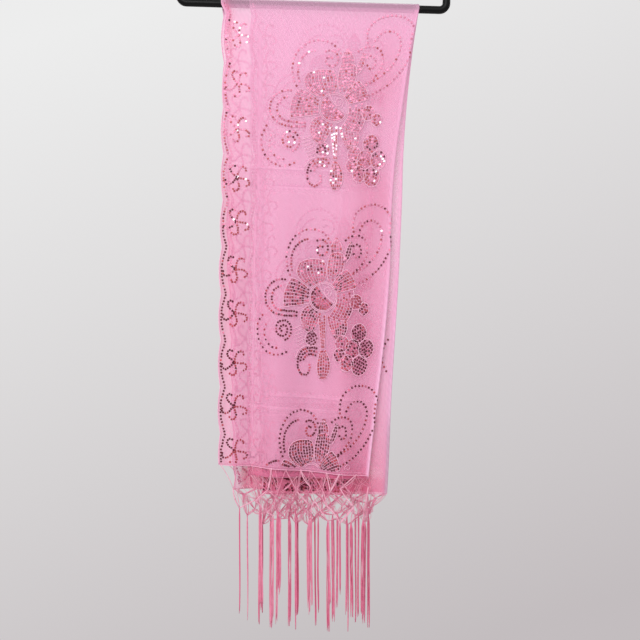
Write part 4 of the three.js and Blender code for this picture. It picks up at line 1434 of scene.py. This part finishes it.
# %% The hanger's paths
HANGER = {"width": 420, "tube": 12, "end_rise": 28, "slope": np.radians(23), "bottom_bend": 10.5,
          "top_bend": 14, "neck_bend": 30}
NECK = {"diameter": 17, "top": -80, "height": 24, "socket": 8.1, "socket_depth": 14}
HOOK = {"wire": 7.5, "inside": 21, "tip": 195, "throat": -40, "stem_top": -84}


def tilted(path):
    """Turns hanger points about the hook's rest: x cos + z sin, z cos - x sin."""
    c, s = np.cos(HANGER_TILT), np.sin(HANGER_TILT)
    return np.stack([path[:, 0] * c + path[:, 1] * s, 0 * path[:, 0], path[:, 1] * c - path[:, 0] * s], -1)


def bent_loop(corners, radii):
    """A closed outline in (x, z): at each corner an arc of its radius, tangent to both sides."""
    parts = []
    for i, (corner, radius) in enumerate(zip(corners, radii)):
        to_before = corners[i - 1] - corner
        to_after = corners[(i + 1) % len(corners)] - corner
        to_before = to_before / np.linalg.norm(to_before)
        to_after = to_after / np.linalg.norm(to_after)
        half = np.arccos(np.dot(to_before, to_after)) / 2
        inwards = (to_before + to_after) / np.linalg.norm(to_before + to_after)
        centre = corner + inwards * radius / np.sin(half)
        turning = np.pi - 2 * half
        start = corner + to_before * radius / np.tan(half) - centre
        end = corner + to_after * radius / np.tan(half) - centre
        sign = np.sign(start[0] * end[1] - start[1] * end[0])
        a = sign * turning * np.linspace(0, 1, 13)
        arc = np.stack([start[0] * np.cos(a) - start[1] * np.sin(a),
                        start[0] * np.sin(a) + start[1] * np.cos(a)], -1)
        parts.append(centre + arc)
    return np.vstack(parts)


half_width = (HANGER["width"] - HANGER["tube"]) / 2
end_top = HANGER["end_rise"] - BAR_BELOW
apex = end_top + half_width * np.tan(HANGER["slope"])
hanger_corners = np.array([(-half_width, -BAR_BELOW), (half_width, -BAR_BELOW), (half_width, end_top),
                           (0, apex), (-half_width, end_top)])
bends = [HANGER["bottom_bend"]] * 2 + [HANGER["top_bend"], HANGER["neck_bend"], HANGER["top_bend"]]
hanger_outline = bent_loop(hanger_corners, bends)
print("the hanger's apex is", round(apex), "mm")

# %% Moulded plastic and the hanger's pieces
def moulded_plastic():
    """Black polypropylene from a polished mould: a soft gloss over a faint orange-peel unevenness."""
    material, tree, shader = new_material("Moulded_black_polypropylene")
    place = add_node(tree, "TexCoord")
    peel = add_node(tree, "TexNoise", {"Vector": place.outputs["Object"], "Scale": 260.0, "Detail": 2.0})
    scuffs = add_node(tree, "TexNoise", {"Vector": place.outputs["Object"], "Scale": 45.0, "Detail": 4.0})
    relief = add_node(tree, "Bump", {"Height": peel.outputs["Fac"], "Strength": 0.12, "Distance": 0.0004})
    rough = add_node(tree, "MapRange", {"Value": scuffs.outputs["Fac"], "To Min": 0.34, "To Max": 0.5})
    tree.links.new(relief.outputs["Normal"], shader.inputs["Normal"])
    tree.links.new(rough.outputs[0], shader.inputs["Roughness"])
    shader.inputs["Base Color"].default_value = linear("#0b0b0c")
    shader.inputs["IOR"].default_value = 1.49
    shader.inputs["Specular IOR Level"].default_value = 0.15
    return material


def upright_lathe(profile, sides=32):
    """(radius, height) pairs carried round the hanger's own upright axis, closed where radius is 0."""
    a = np.arange(sides) * 2 * np.pi / sides
    r, z = np.array(profile, float).T
    ring = np.stack([r[:, None] * np.cos(a), r[:, None] * np.sin(a),
                     np.broadcast_to(z[:, None], (len(r), sides))], -1)
    c, s = np.cos(HANGER_TILT), np.sin(HANGER_TILT)
    turned = np.stack([ring[..., 0] * c + ring[..., 2] * s, ring[..., 1],
                       ring[..., 2] * c - ring[..., 0] * s], -1)
    fan = np.array([(0, i, i + 1, i + 2) for i in range(1, sides - 1, 2)])
    quads = np.vstack([grid_quads(len(r), sides, wrap_columns=True)[:, ::-1], fan[:, ::-1],
                       fan + (len(r) - 1) * sides])
    return turned.reshape(-1, 3), quads


def boss_profile():
    """The neck's boss from the bottom up, its edges rounded, then down into the hook's socket."""
    r = NECK["diameter"] / 2
    low = NECK["top"] - NECK["height"]
    a = np.linspace(0, np.pi / 2, 6)
    foot = np.stack([r - 1.5 + 1.5 * np.sin(a), low + 1.5 - 1.5 * np.cos(a)], -1)
    shoulder = np.stack([r - 2 + 2 * np.cos(a), NECK["top"] - 2 + 2 * np.sin(a)], -1)
    mouth = [(NECK["socket"] / 2, NECK["top"]), (NECK["socket"] / 2, NECK["top"] - NECK["socket_depth"])]
    return [(0.3, low), *foot, *shoulder, *mouth, (0.3, NECK["top"] - NECK["socket_depth"])]


def hook_path():
    """A ring from the tip over the top to the throat, then a Bezier sweep down to the stem's foot."""
    radius = HOOK["inside"] + HOOK["wire"] / 2
    a = np.radians(np.linspace(HOOK["tip"], HOOK["throat"], 56))
    ring = np.stack([radius * np.cos(a), -HOOK["inside"] + radius * np.sin(a)], -1)
    turned = np.radians(HOOK["throat"])
    heading = np.array([np.sin(turned), -np.cos(turned)])
    sweep = bezier(ring[-1], ring[-1] + heading * 22, (0, HOOK["stem_top"] + 22), (0, HOOK["stem_top"]))
    foot = (0, NECK["top"] - NECK["socket_depth"] + 0.3)
    return np.vstack([ring, sweep[1::3], foot])


plastic = moulded_plastic()
points, quads = join([
    tube(tilted(hanger_outline), TOWARDS_VIEW, HANGER["tube"] / 2, sides=32, loop=True),
    upright_lathe(boss_profile()),
])
hanger_body = make_piece("hanger_body", points, quads, plastic)
path = tilted(hook_path())
to_tip = np.linalg.norm(path - path[0], axis=1)
wire = HOOK["wire"] / 2 * np.sqrt(1 - np.clip(1 - (to_tip + 0.15) / (HOOK["wire"] / 2), 0, 1) ** 2)
points, quads = tube(path, TOWARDS_VIEW, wire, sides=24)
hook = make_piece("hanger_hook_swept", points, quads, plastic)

# %% [markdown]
# ## Floor and light
# The floor is a pale disc well below the fringe. The light is a small studio's: a pale room all
# round, a large soft panel high on the left, and one small bare lamp that the sequins flash. Light
# from one side alone would leave the hidden leaves dark, and sheer cloth would then look grey.

# %% Floor, room and lamps
FLOOR_HEIGHT = -1650
FLOOR_RADIUS = 1500
SPARK = (-260, -2050, 180)  # the small lamp's place


def pale_floor():
    """A disc of smooth painted board that fades out at its rim."""
    material, tree, shader = new_material("Painted_floor_board")
    rings = np.array([0.001, 0.5, 1.0]) * FLOOR_RADIUS
    a = np.arange(96) * 2 * np.pi / 96
    points = np.stack([rings[:, None] * np.cos(a), rings[:, None] * np.sin(a),
                       np.full((3, 96), float(FLOOR_HEIGHT))], -1).reshape(-1, 3)
    fade = np.repeat([1.0, 1.0, 0.0], 96)
    here = add_node(tree, "Attribute", attribute_name="fade")
    place = add_node(tree, "TexCoord")
    grain = add_node(tree, "TexNoise", {"Vector": place.outputs["Object"], "Scale": 30.0, "Detail": 3.0})
    tint = add_node(tree, "Mix", {"Factor": grain.outputs["Fac"], "A": linear("#dedbdc"),
                                  "B": linear("#e3e0e1")}, data_type="RGBA")
    tree.links.new(tint.outputs["Result"], shader.inputs["Base Color"])
    tree.links.new(here.outputs["Fac"], shader.inputs["Alpha"])
    shader.inputs["Roughness"].default_value = 0.6
    return make_piece("floor", points, grid_quads(3, 96, wrap_columns=True), material, fade=fade)


def pale_room():
    """The sky of the scene: a pale grey that darkens downwards and a little to the right."""
    world = bpy.data.worlds.new("pale_room")
    world.use_nodes = True
    tree = world.node_tree
    place = add_node(tree, "TexCoord")
    axes = add_node(tree, "SeparateXYZ", {0: place.outputs["Generated"]})
    slant = add_node(tree, "Math", {0: axes.outputs["X"], 1: -0.36, 2: axes.outputs["Z"]},
                     operation="MULTIPLY_ADD")
    height = add_node(tree, "MapRange", {"Value": slant.outputs[0], "From Min": -0.28, "From Max": 0.28})
    tint = add_node(tree, "Mix", {"Factor": height.outputs[0], "A": linear("#c3bdbf"),
                                  "B": linear("#ededed")}, data_type="RGBA")
    tree.links.new(tint.outputs["Result"], tree.nodes["Background"].inputs["Color"])
    scene.world = world


def aim(lamp, place, target):
    """Puts a lamp at a place and turns its -Z axis to a target, both in mm."""
    place, target = Vector(place) * MM, Vector(target) * MM
    lamp.location = place
    lamp.rotation_euler = (target - place).to_track_quat("-Z", "Y").to_euler()
    scene.collection.objects.link(lamp)
    return lamp


floor = pale_floor()
pale_room()
panel = bpy.data.lights.new("soft_panel", "AREA")
panel.size = 1.1
panel.energy = 26
aim(bpy.data.objects.new("soft_panel", panel), PANEL, (0, 0, -450))
spark = bpy.data.lights.new("bare_lamp", "POINT")
spark.shadow_soft_size = 0.03
spark.energy = 14
aim(bpy.data.objects.new("bare_lamp", spark), SPARK, (0, 0, -400))

# %% [markdown]
# ## Where each piece rides
# Each new piece rides on the part's one body and stands for the plain solids under it, which are
# hidden. Everything sewn on the cloth goes with it.

# %% Ride and replace
LEAVES = ["front_outer_leaf", "front_inner_leaf", "back_inner_leaf", "back_outer_leaf"]
OVER_BAR = ["saddle_outer", "saddle_inner", "front_side_fold", "back_side_fold"]
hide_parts(*LEAVES, *OVER_BAR)
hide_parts("front_outer_fringe", "front_inner_fringe")
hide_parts("back_outer_fringe", "back_inner_fringe")
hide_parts("hanger_frame")
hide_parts("hanger_hook")

sewn_on = [edging, *sequins.values(), *threads.values()]
fringe = [front_net, front_tassels, back_net, back_tassels]
for piece in [cloth, *sewn_on]:
    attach(piece, "root")
for piece in fringe:
    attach(piece, "root")
for piece in (hanger_body, hook):
    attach(piece, "root")
print("sewn or knotted to the cloth:", len(sewn_on + fringe), "pieces")
